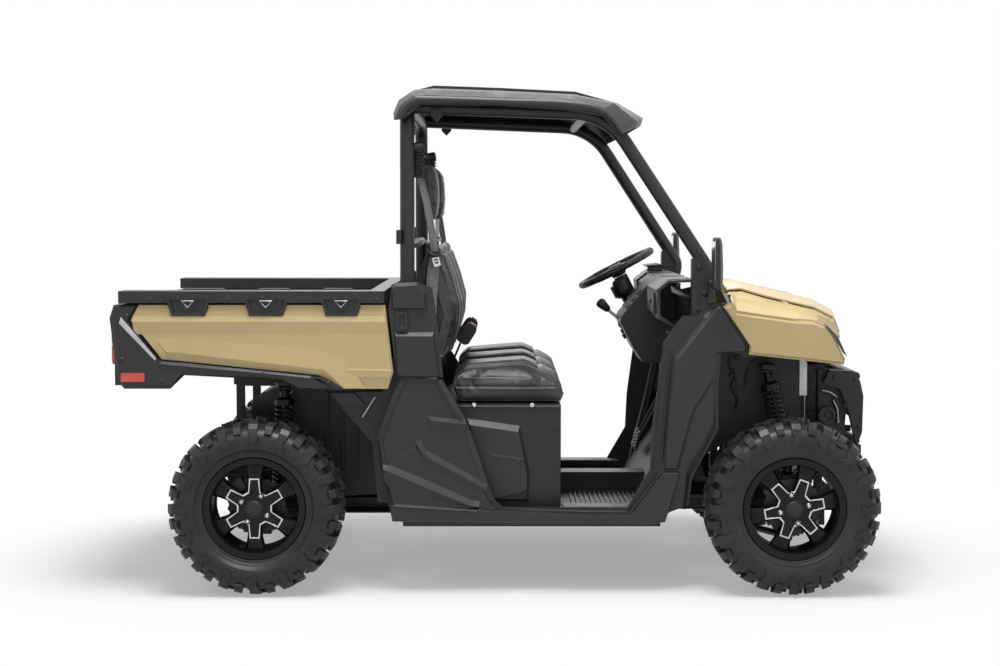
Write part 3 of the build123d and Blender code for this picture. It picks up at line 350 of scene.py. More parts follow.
def bare_metal(name, colour, rough=(0.28, 0.42)):
    """Machined or plain metal with fine tool marks."""
    return surface(name, tint(colour, 0.82), tint(colour, 1.1), (30, 4), (*rough, 90, 4),
                   (("noise", (260, 3), 0.1, 0.0004),), Metallic=1.0)


def lens(name, colour, rough=0.08):
    """A moulded lamp lens with fine flutes."""
    return surface(name, tint(colour, 0.85), tint(colour, 1.1), (20, 2), (rough, rough + 0.08, 50, 2),
                   (("waves", (90, "Z"), 0.3, 0.001),), Coat_Weight=0.8, Coat_Roughness=0.05)


TAN = srgb(188, 167, 119)
GREY = srgb(38, 38, 40)
CAST = srgb(66, 66, 68)
WEBBING = srgb(122, 124, 128)
MATERIALS = {
    "tan": surface("tan_paint", tint(TAN, 0.965), tint(TAN, 1.035), (2.2, 3), (0.3, 0.4, 9, 4), (
        ("noise", (420, 2), 0.06, 0.0004), ("noise", (5, 2), 0.05, 0.004),
    ), Coat_Weight=0.25, Coat_Roughness=0.12, Specular_IOR_Level=0.45),
    "plastic": moulded_plastic("dark_plastic", GREY),
    "plastic_deep": moulded_plastic("black_plastic", srgb(30, 30, 32), grain=700),
    "tube": powder_coat("black_powder_coat", 0.017),
    "alloy": powder_coat("gloss_black_alloy", 0.007, rough=(0.16, 0.24), gloss=0.2),
    "machined": bare_metal("machined_alloy", srgb(205, 205, 208), (0.2, 0.34)),
    "steel": bare_metal("plain_steel", srgb(150, 150, 152)),
    "aluminium": bare_metal("aluminium", srgb(190, 192, 196), (0.34, 0.5)),
    "cast": surface("cast_metal", tint(CAST, 0.7), tint(CAST, 1.25), (18, 5), (0.5, 0.75, 40, 4), (
        ("noise", (220, 4), 0.35, 0.0008),
    ), Metallic=0.65),
    "rubber": surface("tyre_rubber", srgb(30, 30, 31), srgb(41, 41, 42), (12, 5), (0.36, 0.5, 30, 4), (
        ("noise", (500, 3), 0.25, 0.0005), ("noise", (40, 3), 0.12, 0.001),
    ), Specular_IOR_Level=0.35),
    "vinyl": surface("seat_vinyl", srgb(35, 35, 37), srgb(48, 48, 50), (7, 4), (0.36, 0.5, 22, 4), (
        ("cells", (420,), 0.3, 0.0006), ("noise", (16, 3), 0.15, 0.003),
    ), Sheen_Weight=0.1, Sheen_Roughness=0.4),
    "zinc": powder_coat("zinc_plate", 0.5, rough=(0.3, 0.42)),
    "webbing": surface("belt_webbing", tint(WEBBING, 0.8), tint(WEBBING, 1.15), (60, 3), (0.7, 0.85, 80, 2), (
        ("waves", (420, "Y"), 0.5, 0.0006), ("waves", (300, "Z"), 0.3, 0.0004),
    ), Sheen_Weight=0.2),
    "spring": powder_coat("gloss_black_spring", 0.016, rough=(0.2, 0.3)),
    "grip": moulded_plastic("soft_grip", srgb(40, 40, 42), grain=600, rough=(0.42, 0.55)),
    "glass_dark": lens("smoked_lens", srgb(24, 26, 30), 0.06),
    "lamp_red": lens("red_lens", srgb(196, 58, 34)),
    "lamp_clear": lens("clear_lens", srgb(190, 196, 202), 0.05),
    "mirror": bare_metal("mirror_glass", srgb(215, 220, 225), (0.02, 0.05)),
}
NODE_LOOKS = [                # CAD nodes that stay: material, edge radius in metres, nodes
    ("tube", 0.003, "frame_front frame_middle frame_rear bumper"),
    ("plastic_deep", 0.0015, "skid_plates"),
    ("tube", 0.0015, "hitch front_arms rear_arms"),
    ("cast", 0.004, "driveline"),
    ("cast", 0.006, "engine"),
    ("spring", 0.003, "muffler"),
    ("plastic_deep", 0.002, "radiator floor steering_column"),
    ("aluminium", 0.001, "rack_housing"),
    ("tube", 0.001, "cab_frame pedals"),
    ("plastic", 0.012, "roof"),
    # seat_base takes the darker plastic as painted shade: the low part under the seats gets less of the light
    # from above
    ("plastic_deep", 0.004, "seat_base"),
    ("plastic", 0.003, "quarter_panels pillar_covers cowl_sides dashboard bed_corners tailgate"),
    ("tan", 0.002, "fenders hood"),
    ("plastic_deep", 0.003, "fascia"),
    ("lamp_clear", 0.003, "headlamps"),
    ("plastic", 0.002, "mirror_feet bed_tub"),
    ("steel", 0.001, "tie_rods"),
    ("cast", 0.002, "knuckle_left knuckle_right"),
    ("tan", 0.003, "bed_sides"),
    ("plastic", 0.005, "bed_rails"),
    ("lamp_red", 0.002, "tail_lamps"),
    ("tube", 0.0008, "strut_barrel"),
    ("steel", 0.0005, "strut_rod"),
]


WIDE_EDGE = 0.008             # metres, above which an edge gets more segments


def paint(obj, look):
    obj.data.materials.clear()
    obj.data.materials.append(MATERIALS[look])
    return obj


def dress_nodes():
    """Each CAD node that shows gets its material and its rounded edges."""
    for look, width, names in NODE_LOOKS:
        for name in names.split():
            node = nodes[name]
            node.data.materials[0] = MATERIALS[look]
            finish_edges(node, width, segments=5 if width > WIDE_EDGE else 2, weld=True)


# ---- wheels --------------------------------------------------------------------------
FRONT_AXLE_X = 1.117
REAR_AXLE_X = -0.933
HUB_Z = 0.336
LUG_COUNT = 16
LUG_ROOT = 0.006              # metres that a lug reaches into the skin
LUG_LEAN = 0.0018             # metres that the flanks of a tall lug lean in
LUG_TALL = 0.02               # metres, from which a lug has its full lean
MOULDINGS = [(0.214, 0.0024, 0.004), (0.232, 0.0012, 0.002)]  # radius, height, width on the sidewall
WHEEL_SEGMENTS = 96
DISC_CORNERS = 96             # four to a tooth
# corner: axle x, side, wheel plane, tyre half width, bead half, disc face, stub end, star turn, nut turn
WHEELS = {
    "front_left": (FRONT_AXLE_X, 1, 0.695, 0.115, 0.089, 0.082, -0.03, 11, 14),
    "front_right": (FRONT_AXLE_X, -1, 0.695, 0.115, 0.089, 0.082, -0.03, 11, 14),
    "rear_left": (REAR_AXLE_X, 1, 0.67, 0.14, 0.102, 0.096, -0.07, 30, 62),
    "rear_right": (REAR_AXLE_X, -1, 0.67, 0.14, 0.102, 0.096, -0.07, 30, 62),
}


def smooth_line(points, steps):
    """Points along a smooth curve through the given points."""
    ends = [points[0]] + list(points) + [points[-1]]
    made = []
    for k in range(1, len(ends) - 2):
        p0, p1, p2, p3 = (Vector(p) for p in ends[k - 1:k + 3])
        for step in range(steps):
            t = step / steps
            made.append(
                0.5 * (2 * p1 + (p2 - p0) * t + (2 * p0 - 5 * p1 + 4 * p2 - p3) * t * t
                       + (3 * p1 - p0 - 3 * p2 + p3) * t * t * t)
            )
    made.append(Vector(ends[-1]))
    return made


class Carcass:
    """The tyre's outer skin on one side: from the crown's middle down the sidewall to the bead."""

    def __init__(self, half, bead):
        shape = [
            (0.315, 0.0), (0.3145, 0.4 * half), (0.31, 0.66 * half), (0.3, 0.84 * half),
            (0.282, 0.95 * half), (0.258, 0.985 * half), (0.234, 0.955 * half), (0.214, bead + 0.013),
            (0.2, bead + 0.0085),
        ]
        self.line = smooth_line(shape, 9)
        self.reach = [0.0]
        for a, b in zip(self.line, self.line[1:]):
            self.reach.append(self.reach[-1] + (b - a).length)

    def at(self, s):
        """(radius, y) on the skin s metres from the crown's middle, and the outward direction there."""
        s = min(max(s, 0.0), self.reach[-1] - 1e-6)
        k = next(i for i in range(len(self.reach) - 1) if self.reach[i + 1] > s)
        share = (s - self.reach[k]) / (self.reach[k + 1] - self.reach[k])
        point = self.line[k].lerp(self.line[k + 1], share)
        before = self.line[max(k - 1, 0)]
        after = self.line[min(k + 2, len(self.line) - 1)]
        run = (after - before).normalized()
        return point, Vector((run.y, -run.x))

    def find(self, radius):
        """How far down the skin a radius is."""
        for (a, b), reach in zip(zip(self.line, self.line[1:]), self.reach):
            if a.x >= radius > b.x:
                return reach + (a.x - radius) / (a.x - b.x) * (b - a).length
        return self.reach[-1]


def wheel_point(centre, side, angle, radius, y):
    x = centre.x + radius * math.cos(angle)
    z = centre.z + radius * math.sin(angle)
    return Vector((x, centre.y + side * y, z))


def add_lug(bm, skin, centre, side, face, angle, rows):
    """A raised block on the skin. rows: (s, middle shift, half width, height), lengths in metres."""
    lower = []
    upper = []
    for s, shift, width, height in rows:
        point, out = skin.at(abs(s))
        sign = face if s >= 0 else -face
        top = point + out * height
        base = point - out * LUG_ROOT
        ring_low = []
        ring_high = []
        for edge, lean in ((shift - width, LUG_LEAN), (shift + width, -LUG_LEAN)):
            turn = angle + edge / point.x
            ring_low.append(bm.verts.new(wheel_point(centre, side, turn, base.x, sign * base.y)))
            turn = angle + (edge + lean * min(height / LUG_TALL, 1)) / point.x
            ring_high.append(bm.verts.new(wheel_point(centre, side, turn, top.x, sign * top.y)))
        lower.append(ring_low)
        upper.append(ring_high)
    for k in range(len(rows) - 1):
        bm.faces.new((upper[k][0], upper[k][1], upper[k + 1][1], upper[k + 1][0]))
        bm.faces.new((lower[k][0], lower[k + 1][0], lower[k + 1][1], lower[k][1]))
        bm.faces.new((lower[k][0], upper[k][0], upper[k + 1][0], lower[k + 1][0]))
        bm.faces.new((lower[k][1], lower[k + 1][1], upper[k + 1][1], upper[k][1]))
    for k in (0, -1):
        bm.faces.new((lower[k][0], lower[k][1], upper[k][1], upper[k][0]))


def tyre_pieces(corner):
    """The tyre's carcass with its mouldings, and its lugs."""
    axle_x, side, plane_y, half, bead, _, _, _, _ = WHEELS[corner]
    centre = Vector((axle_x, side * plane_y, HUB_Z))
    skin = Carcass(half, bead)
    outer = [(p.x, p.y) for p in skin.line]
    mouldings = [(skin.find(radius), height, width) for radius, height, width in MOULDINGS]
    profile = []
    for (radius, y), reach in zip(outer, skin.reach):
        bulge = sum(height * bell(reach - spot, width) for spot, height, width in mouldings)
        profile.append((radius, y + bulge))
    profile += [(0.1965, bead + 0.0025), (0.1795, bead - 0.004), (0.179, bead - 0.024)]
    section = profile + [(radius, -y) for radius, y in reversed(profile[1:])]
    bm = bmesh.new()
    add_lathe(bm, section, WHEEL_SEGMENTS, centre)
    bmesh.ops.remove_doubles(bm, verts=bm.verts, dist=WELD)
    wheel = f"wheel_{corner}"
    carcass = add_piece(f"tyre_{corner}_carcass", bm, "rubber", wheel, "tyre", smooth=50)
    bm = bmesh.new()
    shoulder = skin.find(0.3)
    foot = skin.find(0.251)
    short = skin.find(0.288)
    crown = 0.4 * half
    pitch = 2 * math.pi / LUG_COUNT
    for face in (-1, 1):
        for k in range(LUG_COUNT):
            angle = pitch * (k + (0.5 if face * side > 0 else 0.0))
            hand = 1 if k % 2 else -1
            add_lug(bm, skin, centre, side, face, angle, [
                (crown, 0.008, 0.015, 0.021),
                (crown + 0.3 * (shoulder - crown), 0.002, 0.0175, 0.021),
                (shoulder - 0.016, 0.0, 0.0185, 0.0205),
                (shoulder + 0.004, 0.0, 0.0185, 0.015),
                (shoulder + 0.012, 0.001, 0.017, 0.01),
                (0.5 * (shoulder + 0.012 + foot), 0.0085 * hand, 0.016, 0.0088),
                (foot, -0.0065 * hand, 0.0145, 0.008),
            ])
            add_lug(bm, skin, centre, side, face, angle + pitch / 2, [
                (crown + 0.012, -0.006, 0.016, 0.021),
                (shoulder - 0.02, 0.0, 0.0165, 0.021),
                (shoulder - 0.002, 0.0, 0.016, 0.0175),
                (short, 0.0, 0.0145, 0.0105),
            ])
            add_lug(bm, skin, centre, side, face, angle + pitch * 0.22, [
                (-0.05 * half, 0.01, 0.012, 0.021),
                (0.14 * half, 0.002, 0.0165, 0.021),
                (0.32 * half, -0.006, 0.0155, 0.021),
            ])
    add_piece(f"tyre_{corner}_lugs", bm, "rubber", wheel, "tyre", 0.0012, angle=25)
    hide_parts(f"tyre_{corner}")


def star_outline(turn, grow=0.0):
    """The six armed star on the rim: a list of (radius, angle) corners."""
    corners = []
    for k in range(6):
        middle = math.radians(turn + 60 * k)
        notch = math.radians(turn + 60 * k + 30)
        for half in (-1, 1):
            corners.append((0.117 + grow, middle + half * (0.0195 + grow * 0.7) / 0.117))
        for half in (-1, 1):
            corners.append((0.068 + grow, notch + half * (0.0125 - grow * 0.2) / 0.068))
    return corners


def polar_place(centre, side):
    def place(radius, angle, y):
        return wheel_point(centre, side, angle, radius, y)
    return place


def add_ring_prism(bm, outer, inner, low, high, place):
    """A closed band between two outlines with the same number of corners."""
    rings = []
    for outline, level in ((outer, low), (outer, high), (inner, high), (inner, low)):
        rings.append([bm.verts.new(place(a, b, level)) for a, b in outline])
    for first, second in zip(rings, rings[1:] + rings[:1]):
        add_band(bm, first, second)


def add_axle_bar(bm, spot, side, low, high, radius, sides, end_radius=None):
    """A round bar along the axle's direction, from low to high outwards of the spot."""
    start, end = (spot + Vector((0, side * y, 0)) for y in (low, high))
    add_bar(bm, start, end, radius, sides, end_radius)


def rim_pieces(corner):
    """Barrel, spokes, machined star, cap, nuts, brake disc, hub and stub of one wheel."""
    axle_x, side, plane_y, _, bead, face, stub, turn, nut_turn = WHEELS[corner]
    centre = Vector((axle_x, side * plane_y, HUB_Z))
    place = polar_place(centre, side)
    bm = bmesh.new()
    edge = bead + 0.008
    section = [
        (0.1665, -edge + 0.006), (0.17, -edge), (0.1935, -edge), (0.196, -edge + 0.003), (0.196, -bead),
        (0.1775, -bead), (0.1775, -bead + 0.03), (0.169, -bead + 0.04), (0.169, bead - 0.05),
        (0.1775, bead - 0.035), (0.1775, bead), (0.196, bead), (0.196, edge - 0.003), (0.1935, edge),
        (0.185, edge - 0.0015), (0.1775, edge - 0.01), (0.177, edge - 0.018), (0.1735, edge - 0.021),
        (0.173, edge - 0.036), (0.169, edge - 0.04), (0.1685, edge - 0.058), (0.1645, edge - 0.064),
        (0.164, -0.2 * bead), (0.1665, -0.35 * bead),
    ]
    add_lathe(bm, section, WHEEL_SEGMENTS, centre)
    wheel = f"wheel_{corner}"
    add_piece(f"rim_{corner}_barrel", bm, "alloy", wheel, "alloy", smooth=32)
    bm = bmesh.new()
    rows = [                  # radius, half width of the face, half width of the foot, sink of the face
        (0.04, 0.02, 0.024, 0.002), (0.072, 0.02, 0.027, 0.002), (0.11, 0.0205, 0.03, 0.004),
        (0.135, 0.025, 0.035, 0.01), (0.158, 0.03, 0.042, 0.014), (0.175, 0.035, 0.049, 0.015),
    ]
    for k in range(6):
        angle = math.radians(turn + 60 * k)
        along = Vector((math.cos(angle), math.sin(angle)))
        across = Vector((-along.y, along.x))
        rings = []
        for radius, top, foot, sink in rows:
            ring = []
            for offset, depth in (
                (-top, sink), (top, sink), (foot, sink + 0.013), (foot * 0.9, sink + 0.03),
                (-foot * 0.9, sink + 0.03), (-foot, sink + 0.013),
            ):
                flat = along * radius + across * offset
                ring.append((centre.x + flat.x, centre.y + side * (face - depth), centre.z + flat.y))
            rings.append(ring)
        add_loft(bm, rings)
    add_axle_bar(bm, centre, side, face - 0.034, face - 0.001, 0.066, 48)
    add_axle_bar(bm, centre, side, 0.026, face - 0.02, 0.058, 40)
    add_axle_bar(bm, centre, side, stub, 0.03, 0.028, 32)
    star = star_outline(turn)
    inner = star_outline(turn, -0.0064)
    add_prism(bm, inner, face - 0.004, face + 0.0025, place)
    spokes = add_piece(f"rim_{corner}_spokes", bm, "alloy", wheel, "alloy", 0.0022, angle=24)
    bm = bmesh.new()
    add_ring_prism(bm, star, inner, face - 0.004, face + 0.0042, place)
    add_piece(f"rim_{corner}_star", bm, "machined", wheel, "alloy", 0.0007)
    bm = bmesh.new()
    for k in range(6):
        angle = math.radians(turn + 60 * k)
        slot = [(0.136, -0.0035), (0.16, -0.005), (0.16, 0.005), (0.136, 0.0035)]
        corners = [(r, angle + w / r) for r, w in slot]
        edge = [(r + (0.003 if r > 0.15 else -0.003), angle + w * 1.7 / r) for r, w in slot]
        add_ring_prism(bm, edge, corners, face - 0.016, face - 0.0085, place)
    add_piece(f"rim_{corner}_slots", bm, "alloy", wheel, "alloy", 0.0008)
    bm = bmesh.new()
    cap = [(0.0, 0.0185), (0.012, 0.018), (0.024, 0.0165), (0.029, 0.014), (0.031, 0.0105), (0.0345, 0.01),
           (0.036, 0.004), (0.037, -0.004), (0.0, -0.004)]
    add_lathe(bm, [(r, side * (face + y)) for r, y in cap], 40, centre, closed=False)
    bmesh.ops.remove_doubles(bm, verts=bm.verts, dist=WELD)
    add_piece(f"rim_{corner}_cap", bm, "plastic_deep", wheel, "alloy", smooth=35)
    bm = bmesh.new()
    pads = bmesh.new()
    for k in range(4):
        spot = place(0.055, math.radians(nut_turn + 90 * k), 0.0)
        add_axle_bar(pads, spot, side, face - 0.002, face + 0.0046, 0.0125, 24)
        add_axle_bar(bm, spot, side, face - 0.002, face + 0.01, 0.0105, 6)
        add_axle_bar(bm, spot, side, face + 0.009, face + 0.016, 0.0095, 24, 0.005)
    add_piece(f"rim_{corner}_nuts", bm, "machined", wheel, "alloy", 0.0009)
    add_piece(f"rim_{corner}_nut_seats", pads, "alloy", wheel, "alloy", 0.001)
    bm = bmesh.new()
    angles = full_turn(DISC_CORNERS)
    teeth = [(0.112 if k % 4 in (1, 2) else 0.107, angle) for k, angle in enumerate(angles)]
    add_ring_prism(bm, teeth, [(0.05, angle) for angle in angles], 0.03, 0.035, place)
    # The disc is cast metal, as real discs are, in a dark tone that also paints the shade inside the wheel.
    add_piece(f"brake_disc_{corner}", bm, "cast", wheel, "steel", 0.0005)
    bm = bmesh.new()
    stem = [(0.16, -0.03), (0.156, -0.008), (0.15, 0.004)]
    add_tube(bm, [place(radius, math.radians(turn + 90), face + y) for radius, y in stem], 0.0035, 10)
    add_piece(f"valve_{corner}", bm, "rubber", wheel, "tyre", smooth=40)
    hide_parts(f"rim_{corner}")


def caliper(corner):
    """A brake caliper on the knuckle or the rear upright, over the top of its disc."""
    axle_x, side, plane_y, _, _, _, _, _, _ = WHEELS[corner]
    front = corner.startswith("front")
    centre = Vector((axle_x, side * plane_y, HUB_Z))
    bm = bmesh.new()
    low = -0.03 if front else -0.1
    for turn in (128, 143):
        angle = math.radians(turn)
        spot = wheel_point(centre, side, angle, 0.103, 0.0)
        add_axle_bar(bm, spot, side, 0.012, 0.047, 0.021, 20)
    for r0, r1, y0, y1 in ((0.078, 0.128, 0.008, 0.027), (0.078, 0.128, 0.038, 0.05),
                           (0.116, 0.13, 0.01, 0.048), (0.06, 0.082, low, 0.022)):
        arc = [(r1, math.radians(118 + 6 * k)) for k in range(7)]
        arc += [(r0, math.radians(154 - 6 * k)) for k in range(7)]
        add_prism(bm, arc, y0, y1, polar_place(centre, side))
    body = f"knuckle_{corner[6:]}" if front else "chassis"
    add_piece(f"caliper_{corner}", bm, "cast", body, "cast", 0.002, angle=35)


def build_wheels():
    for corner in WHEELS:
        tyre_pieces(corner)
        rim_pieces(corner)
        caliper(corner)


# ---- more mesh helpers ---------------------------------------------------------------
def around(start, end):
    """A function that gives points by share of the way along an axis, turn and radius."""
    start = Vector(start)
    along = Vector(end) - start
    across = along.orthogonal().normalized()
    other = along.normalized().cross(across)

    def at(share, turn, radius):
        return start + along * share + (across * math.cos(turn) + other * math.sin(turn)) * radius

    return at


def add_turned(bm, start, end, rows, sides=24):
    """A turned piece on an axis. rows: (share of the way along, radius)."""
    at = around(start, end)
    add_loft(bm, [[at(share, turn, radius) for turn in full_turn(sides)] for share, radius in rows])


def add_head(bm, x, z, y, tip, radius, sides, rise=0.7):
    """The head of a screw or bolt that stands on a side wall, from y out to tip."""
    add_turned(bm, (x, y, z), (x, tip, z), [(0, radius), (rise, radius), (1, radius - 0.003)], sides)


def add_coil(bm, start, end, radius, wire, turns, steps=18, sides=8):
    """A helical spring between two points."""
    at = around(start, end)
    points = [at(k / (turns * steps), 2 * math.pi * k / steps, radius) for k in range(int(turns * steps) + 1)]
    add_tube(bm, points, wire, sides=sides)


def add_strap(bm, points, across, width, thickness):
    """A flat band along points; across is the direction of its width."""
    points = [Vector(p) for p in points]
    across = Vector(across).normalized() * width / 2
    rows = []
    for k, point in enumerate(points):
        ahead = points[min(k + 1, len(points) - 1)] - points[max(k - 1, 0)]
        out = ahead.cross(across).normalized() * thickness / 2
        rows.append([point - across - out, point + across - out, point + across + out, point - across + out])
    add_loft(bm, rows)


def curve_points(points, steps=8):
    """A smooth curve through 3-D points."""
    return smooth_line([Vector(p) for p in points], steps)


SLOTS = {                     # the slot of a look, where the piece doesn't name its own
    "plastic": "dark_plastic", "plastic_deep": "dark_plastic", "grip": "dark_plastic",
    "rubber": "dark_plastic", "tube": "black_steel", "alloy": "black_steel", "spring": "black_steel",
    "steel": "steel", "machined": "steel", "zinc": "steel", "aluminium": "aluminium", "cast": "cast",
    "tan": "tan_panel", "lamp_red": "lamp_red", "glass_dark": "lamp_clear", "mirror": "lamp_clear",
}


def add_piece(name, bm, look, body="chassis", slot=None, bevel=None, angle=30, smooth=None, mirror=False):
    """The usual ending of a piece: object, edges, material and body; its slot is looked up but not kept."""
    if mirror:
        mirrored(bm)
    slot = slot or SLOTS.get(look)
    obj = new_object(name, bm, smooth)
    if bevel:
        finish_edges(obj, bevel, angle=angle)
    paint(obj, look)
    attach(obj, body)
    return obj


# ---- seats ---------------------------------------------------------------------------
PLACES = [(-0.56, -0.19), (-0.184, 0.184), (0.19, 0.56)]
HEADREST_OUTLINE = [(-0.272, 1.652), (-0.256, 1.63), (-0.25, 1.52), (-0.256, 1.428), (-0.296, 1.424),
                    (-0.306, 1.64)]
HEADREST_SIDES = (-0.375, 0.375)
HEADREST_HALF = 0.122
SEAM_DEPTH = 0.0085
SEAM_WIDTH = 0.0065
SIM_FRAMES = 20
SWELL_CAP = 0.011


def islands(bm):
    """The separate solids of a bmesh, as lists of vertices."""
    left = set(bm.verts)
    found = []
    while left:
        stack = [left.pop()]
        island = []
        while stack:
            vert = stack.pop()
            island.append(vert)
            for edge in vert.link_edges:
                other = edge.other_vert(vert)
                if other in left:
                    left.remove(other)
                    stack.append(other)
        found.append(island)
    return found


def pad_from_node(name, node_name, low, high):
    """A copy of the one solid of a CAD node that fills the place from low to high."""
    source = nodes[node_name]
    bm = bmesh.new()
    bm.from_mesh(source.data)
    bm.transform(source.matrix_world)
    bmesh.ops.remove_doubles(bm, verts=bm.verts, dist=0.0001)
    wrong = []
    for island in islands(bm):
        reach = [v.co.y for v in island]
        if min(reach) < low - 0.01 or max(reach) > high + 0.01:
            wrong += island
    bmesh.ops.delete(bm, geom=wrong, context="VERTS")
    return new_object(name, bm)


def remesh(obj, voxel, inset):
    """Even quads all over, drawn in a little to leave room for swelling."""
    step = obj.modifiers.new("remesh", "REMESH")
    step.mode = "VOXEL"
    step.voxel_size = voxel
    bake(obj)
    normals = [v.normal.copy() for v in obj.data.vertices]
    for vert, normal in zip(obj.data.vertices, normals):
        vert.co -= normal * inset


def bake(obj):
    """Applies the object's modifiers."""
    graph = bpy.context.evaluated_depsgraph_get()
    mesh = bpy.data.meshes.new_from_object(obj.evaluated_get(graph))
    obj.modifiers.clear()
    obj.data = mesh


def swell(pads, cap):
    """Blows the pads up a little as cloth, and limits how far any point may move."""
    scene = bpy.context.scene
    for obj, held in pads:
        group = obj.vertex_groups.new(name="held")
        group.add([v.index for v in obj.data.vertices if held(v.co)], 1.0, "REPLACE")
        cloth = obj.modifiers.new("cloth", "CLOTH")
        settings = cloth.settings
        settings.quality = 4
        settings.mass = 0.3
        settings.tension_stiffness = 14
        settings.compression_stiffness = 14
        settings.shear_stiffness = 6
        settings.bending_stiffness = 0.4
        settings.vertex_group_mass = "held"
        settings.use_pressure = True
        settings.uniform_pressure_force = 4
        settings.effector_weights.gravity = 0
        cloth.collision_settings.use_collision = False
        cloth.point_cache.frame_start = 1
        cloth.point_cache.frame_end = SIM_FRAMES
    for step in range(1, SIM_FRAMES + 1):
        scene.frame_set(step)
    graph = bpy.context.evaluated_depsgraph_get()
    for obj, _ in pads:
        swollen = obj.evaluated_get(graph).to_mesh()
        moves = [after.co - before.co for after, before in zip(swollen.vertices, obj.data.vertices)]
        obj.evaluated_get(graph).to_mesh_clear()
        obj.modifiers.clear()
        for vert, move in zip(obj.data.vertices, moves):
            if move.length > cap:
                move = move * (cap / move.length)
            vert.co += move
    scene.frame_set(1)


def sew(obj, depth_at):
    """Subdivides once and presses the seams in along the surface's normals."""
    smooth = obj.modifiers.new("smooth", "SUBSURF")
    smooth.levels = 1
    smooth.render_levels = 1
    bake(obj)
    mesh = obj.data
    moves = [depth_at(v.co, v.normal) for v in mesh.vertices]
    normals = [v.normal.copy() for v in mesh.vertices]
    for vert, move, normal in zip(mesh.vertices, moves, normals):
        vert.co += normal * move
    mesh.shade_smooth()


def fade(value, low, high, soft):
    """1 between low and high, falling to 0 over soft outside."""
    outside = max(low - value, value - high, 0.0)
    return max(0.0, 1.0 - outside / soft)


def cushion_seams(low, high):
    """Bolster seams along the cushion, a cross seam at the front and a welt around the side."""
    inner = (low + 0.082, high - 0.082)

    def depth(co, normal):
        move = 0.0
        if normal.z > 0.25:
            along = fade(co.x, -0.19, 0.15, 0.012)
            for y in inner:
                move -= SEAM_DEPTH * along * bell(co.y - y, SEAM_WIDTH)
            across = fade(co.y, inner[0], inner[1], 0.006)
            move -= SEAM_DEPTH * across * bell(co.x - 0.154, SEAM_WIDTH)
            middle = fade(co.y, inner[0] + 0.02, inner[1] - 0.02, 0.02) * fade(co.x, -0.16, 0.12, 0.02)
            move -= 0.003 * middle * bell(co.y - (low + high) / 2, 0.005)
        side = max(0.0, 1.0 - abs(normal.z) * 1.4)
        move += 0.003 * side * bell(co.z - 0.772, 0.0042)
        move -= 0.0032 * side * bell(co.z - 0.78, 0.004)
        panel = fade(co.z, 0.788, 0.812, 0.006) * fade(co.x, -0.1, 0.14, 0.012) * abs(normal.y)
        move += 0.0035 * panel
        return move

    return depth


def back_seams(low, high):
    """Long sewn ribs down the face of the backrest and a welt around its edge."""
    lines = [low + 0.055 + k * (high - low - 0.11) / 5 for k in range(6)]

    def depth(co, normal):
        move = 0.0
        facing = max(0.0, normal.x)
        along = fade(co.z, 0.935, 1.3, 0.02)
        for y in lines:
            move -= SEAM_DEPTH * facing * along * bell(co.y - y, SEAM_WIDTH)
        inside = fade(co.y, lines[0], lines[-1], 0.006)
        for z in (1.3, 0.935):
            move -= 0.007 * facing * inside * bell(co.z - z, SEAM_WIDTH)
        side = max(0.0, 1.0 - abs(normal.x) * 1.6)
        front = -0.18 - 0.3 * abs(co.z - 1.06)
        move += 0.0026 * side * bell(co.x - front + 0.035, 0.0045)
        return move

    return depth


def headrest_seams(low, high):
    def depth(co, normal):
        side = max(0.0, 1.0 - abs(normal.x) * 1.3)
        move = 0.0022 * side * bell(co.x + 0.264, 0.004)
        frame = min(co.y - low, high - co.y, co.z - 1.424, 1.645 - co.z)
        return move - 0.004 * abs(normal.x) * bell(frame - 0.045, 0.006)

    return depth


def build_seats():
    """Cushions, backrests and headrests as swollen, sewn pads on their shell and posts."""
    pads = []
    sewing = []
    for node_name, held, seams in (("seat_cushion", lambda co: co.z < 0.732, cushion_seams),
                                   ("seat_back", lambda co: co.x < -0.255 and co.z < 1.25, back_seams)):
        for k, (low, high) in enumerate(PLACES):
            pad = pad_from_node(f"{node_name}_pad_{k}", node_name, low, high)
            remesh(pad, 0.008, 0.007)
            pads.append((pad, held))
            sewing.append((pad, seams(low, high), 0.8))
    for k, y in enumerate(HEADREST_SIDES):
        bm = bmesh.new()
        add_prism(bm, HEADREST_OUTLINE, y - HEADREST_HALF, y + HEADREST_HALF)
        pad = new_object(f"headrest_pad_{k}", bm)
        remesh(pad, 0.006, 0.003)
        pads.append((pad, lambda co: co.x < -0.29))
        sewing.append((pad, headrest_seams(y - 0.125, y + 0.125), 0.7))
    swell(pads, SWELL_CAP)
    for pad, seams, fill in sewing:
        sew(pad, seams)
        paint(pad, "vinyl")
        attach(pad, "chassis")
    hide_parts("seat_cushion")
    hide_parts("seat_back")
    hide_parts("headrests")
    bm = bmesh.new()
    outline = [(-0.3, 0.65), (-0.3, 1.11), (-0.272, 1.34), (-0.28, 1.34), (-0.308, 1.112), (-0.308, 0.65)]
    add_prism(bm, outline, -0.56, 0.56)
    for y in (-0.54, -0.27, 0.0, 0.27, 0.54):
        add_prism(bm, [(-0.306, 0.68), (-0.306, 1.1), (-0.279, 1.32), (-0.3, 1.26), (-0.326, 1.1),
                       (-0.326, 0.7)], y - 0.012, y + 0.012)
    add_piece("seat_back_shell", bm, "plastic_deep", bevel=0.002)
    bm = bmesh.new()
    for y in HEADREST_SIDES:
        for dy in (-0.045, 0.045):
            add_bar(bm, (-0.276, y + dy, 1.33), (-0.276, y + dy, 1.445), 0.007)
            add_turned(bm, (-0.276, y + dy, 1.332), (-0.276, y + dy, 1.352),
                       [(0, 0.016), (0.7, 0.016), (1, 0.011)])
    add_piece("headrest_posts", bm, "steel", smooth=40)


BELT = (0.046, 0.0018)        # width and thickness of the webbing


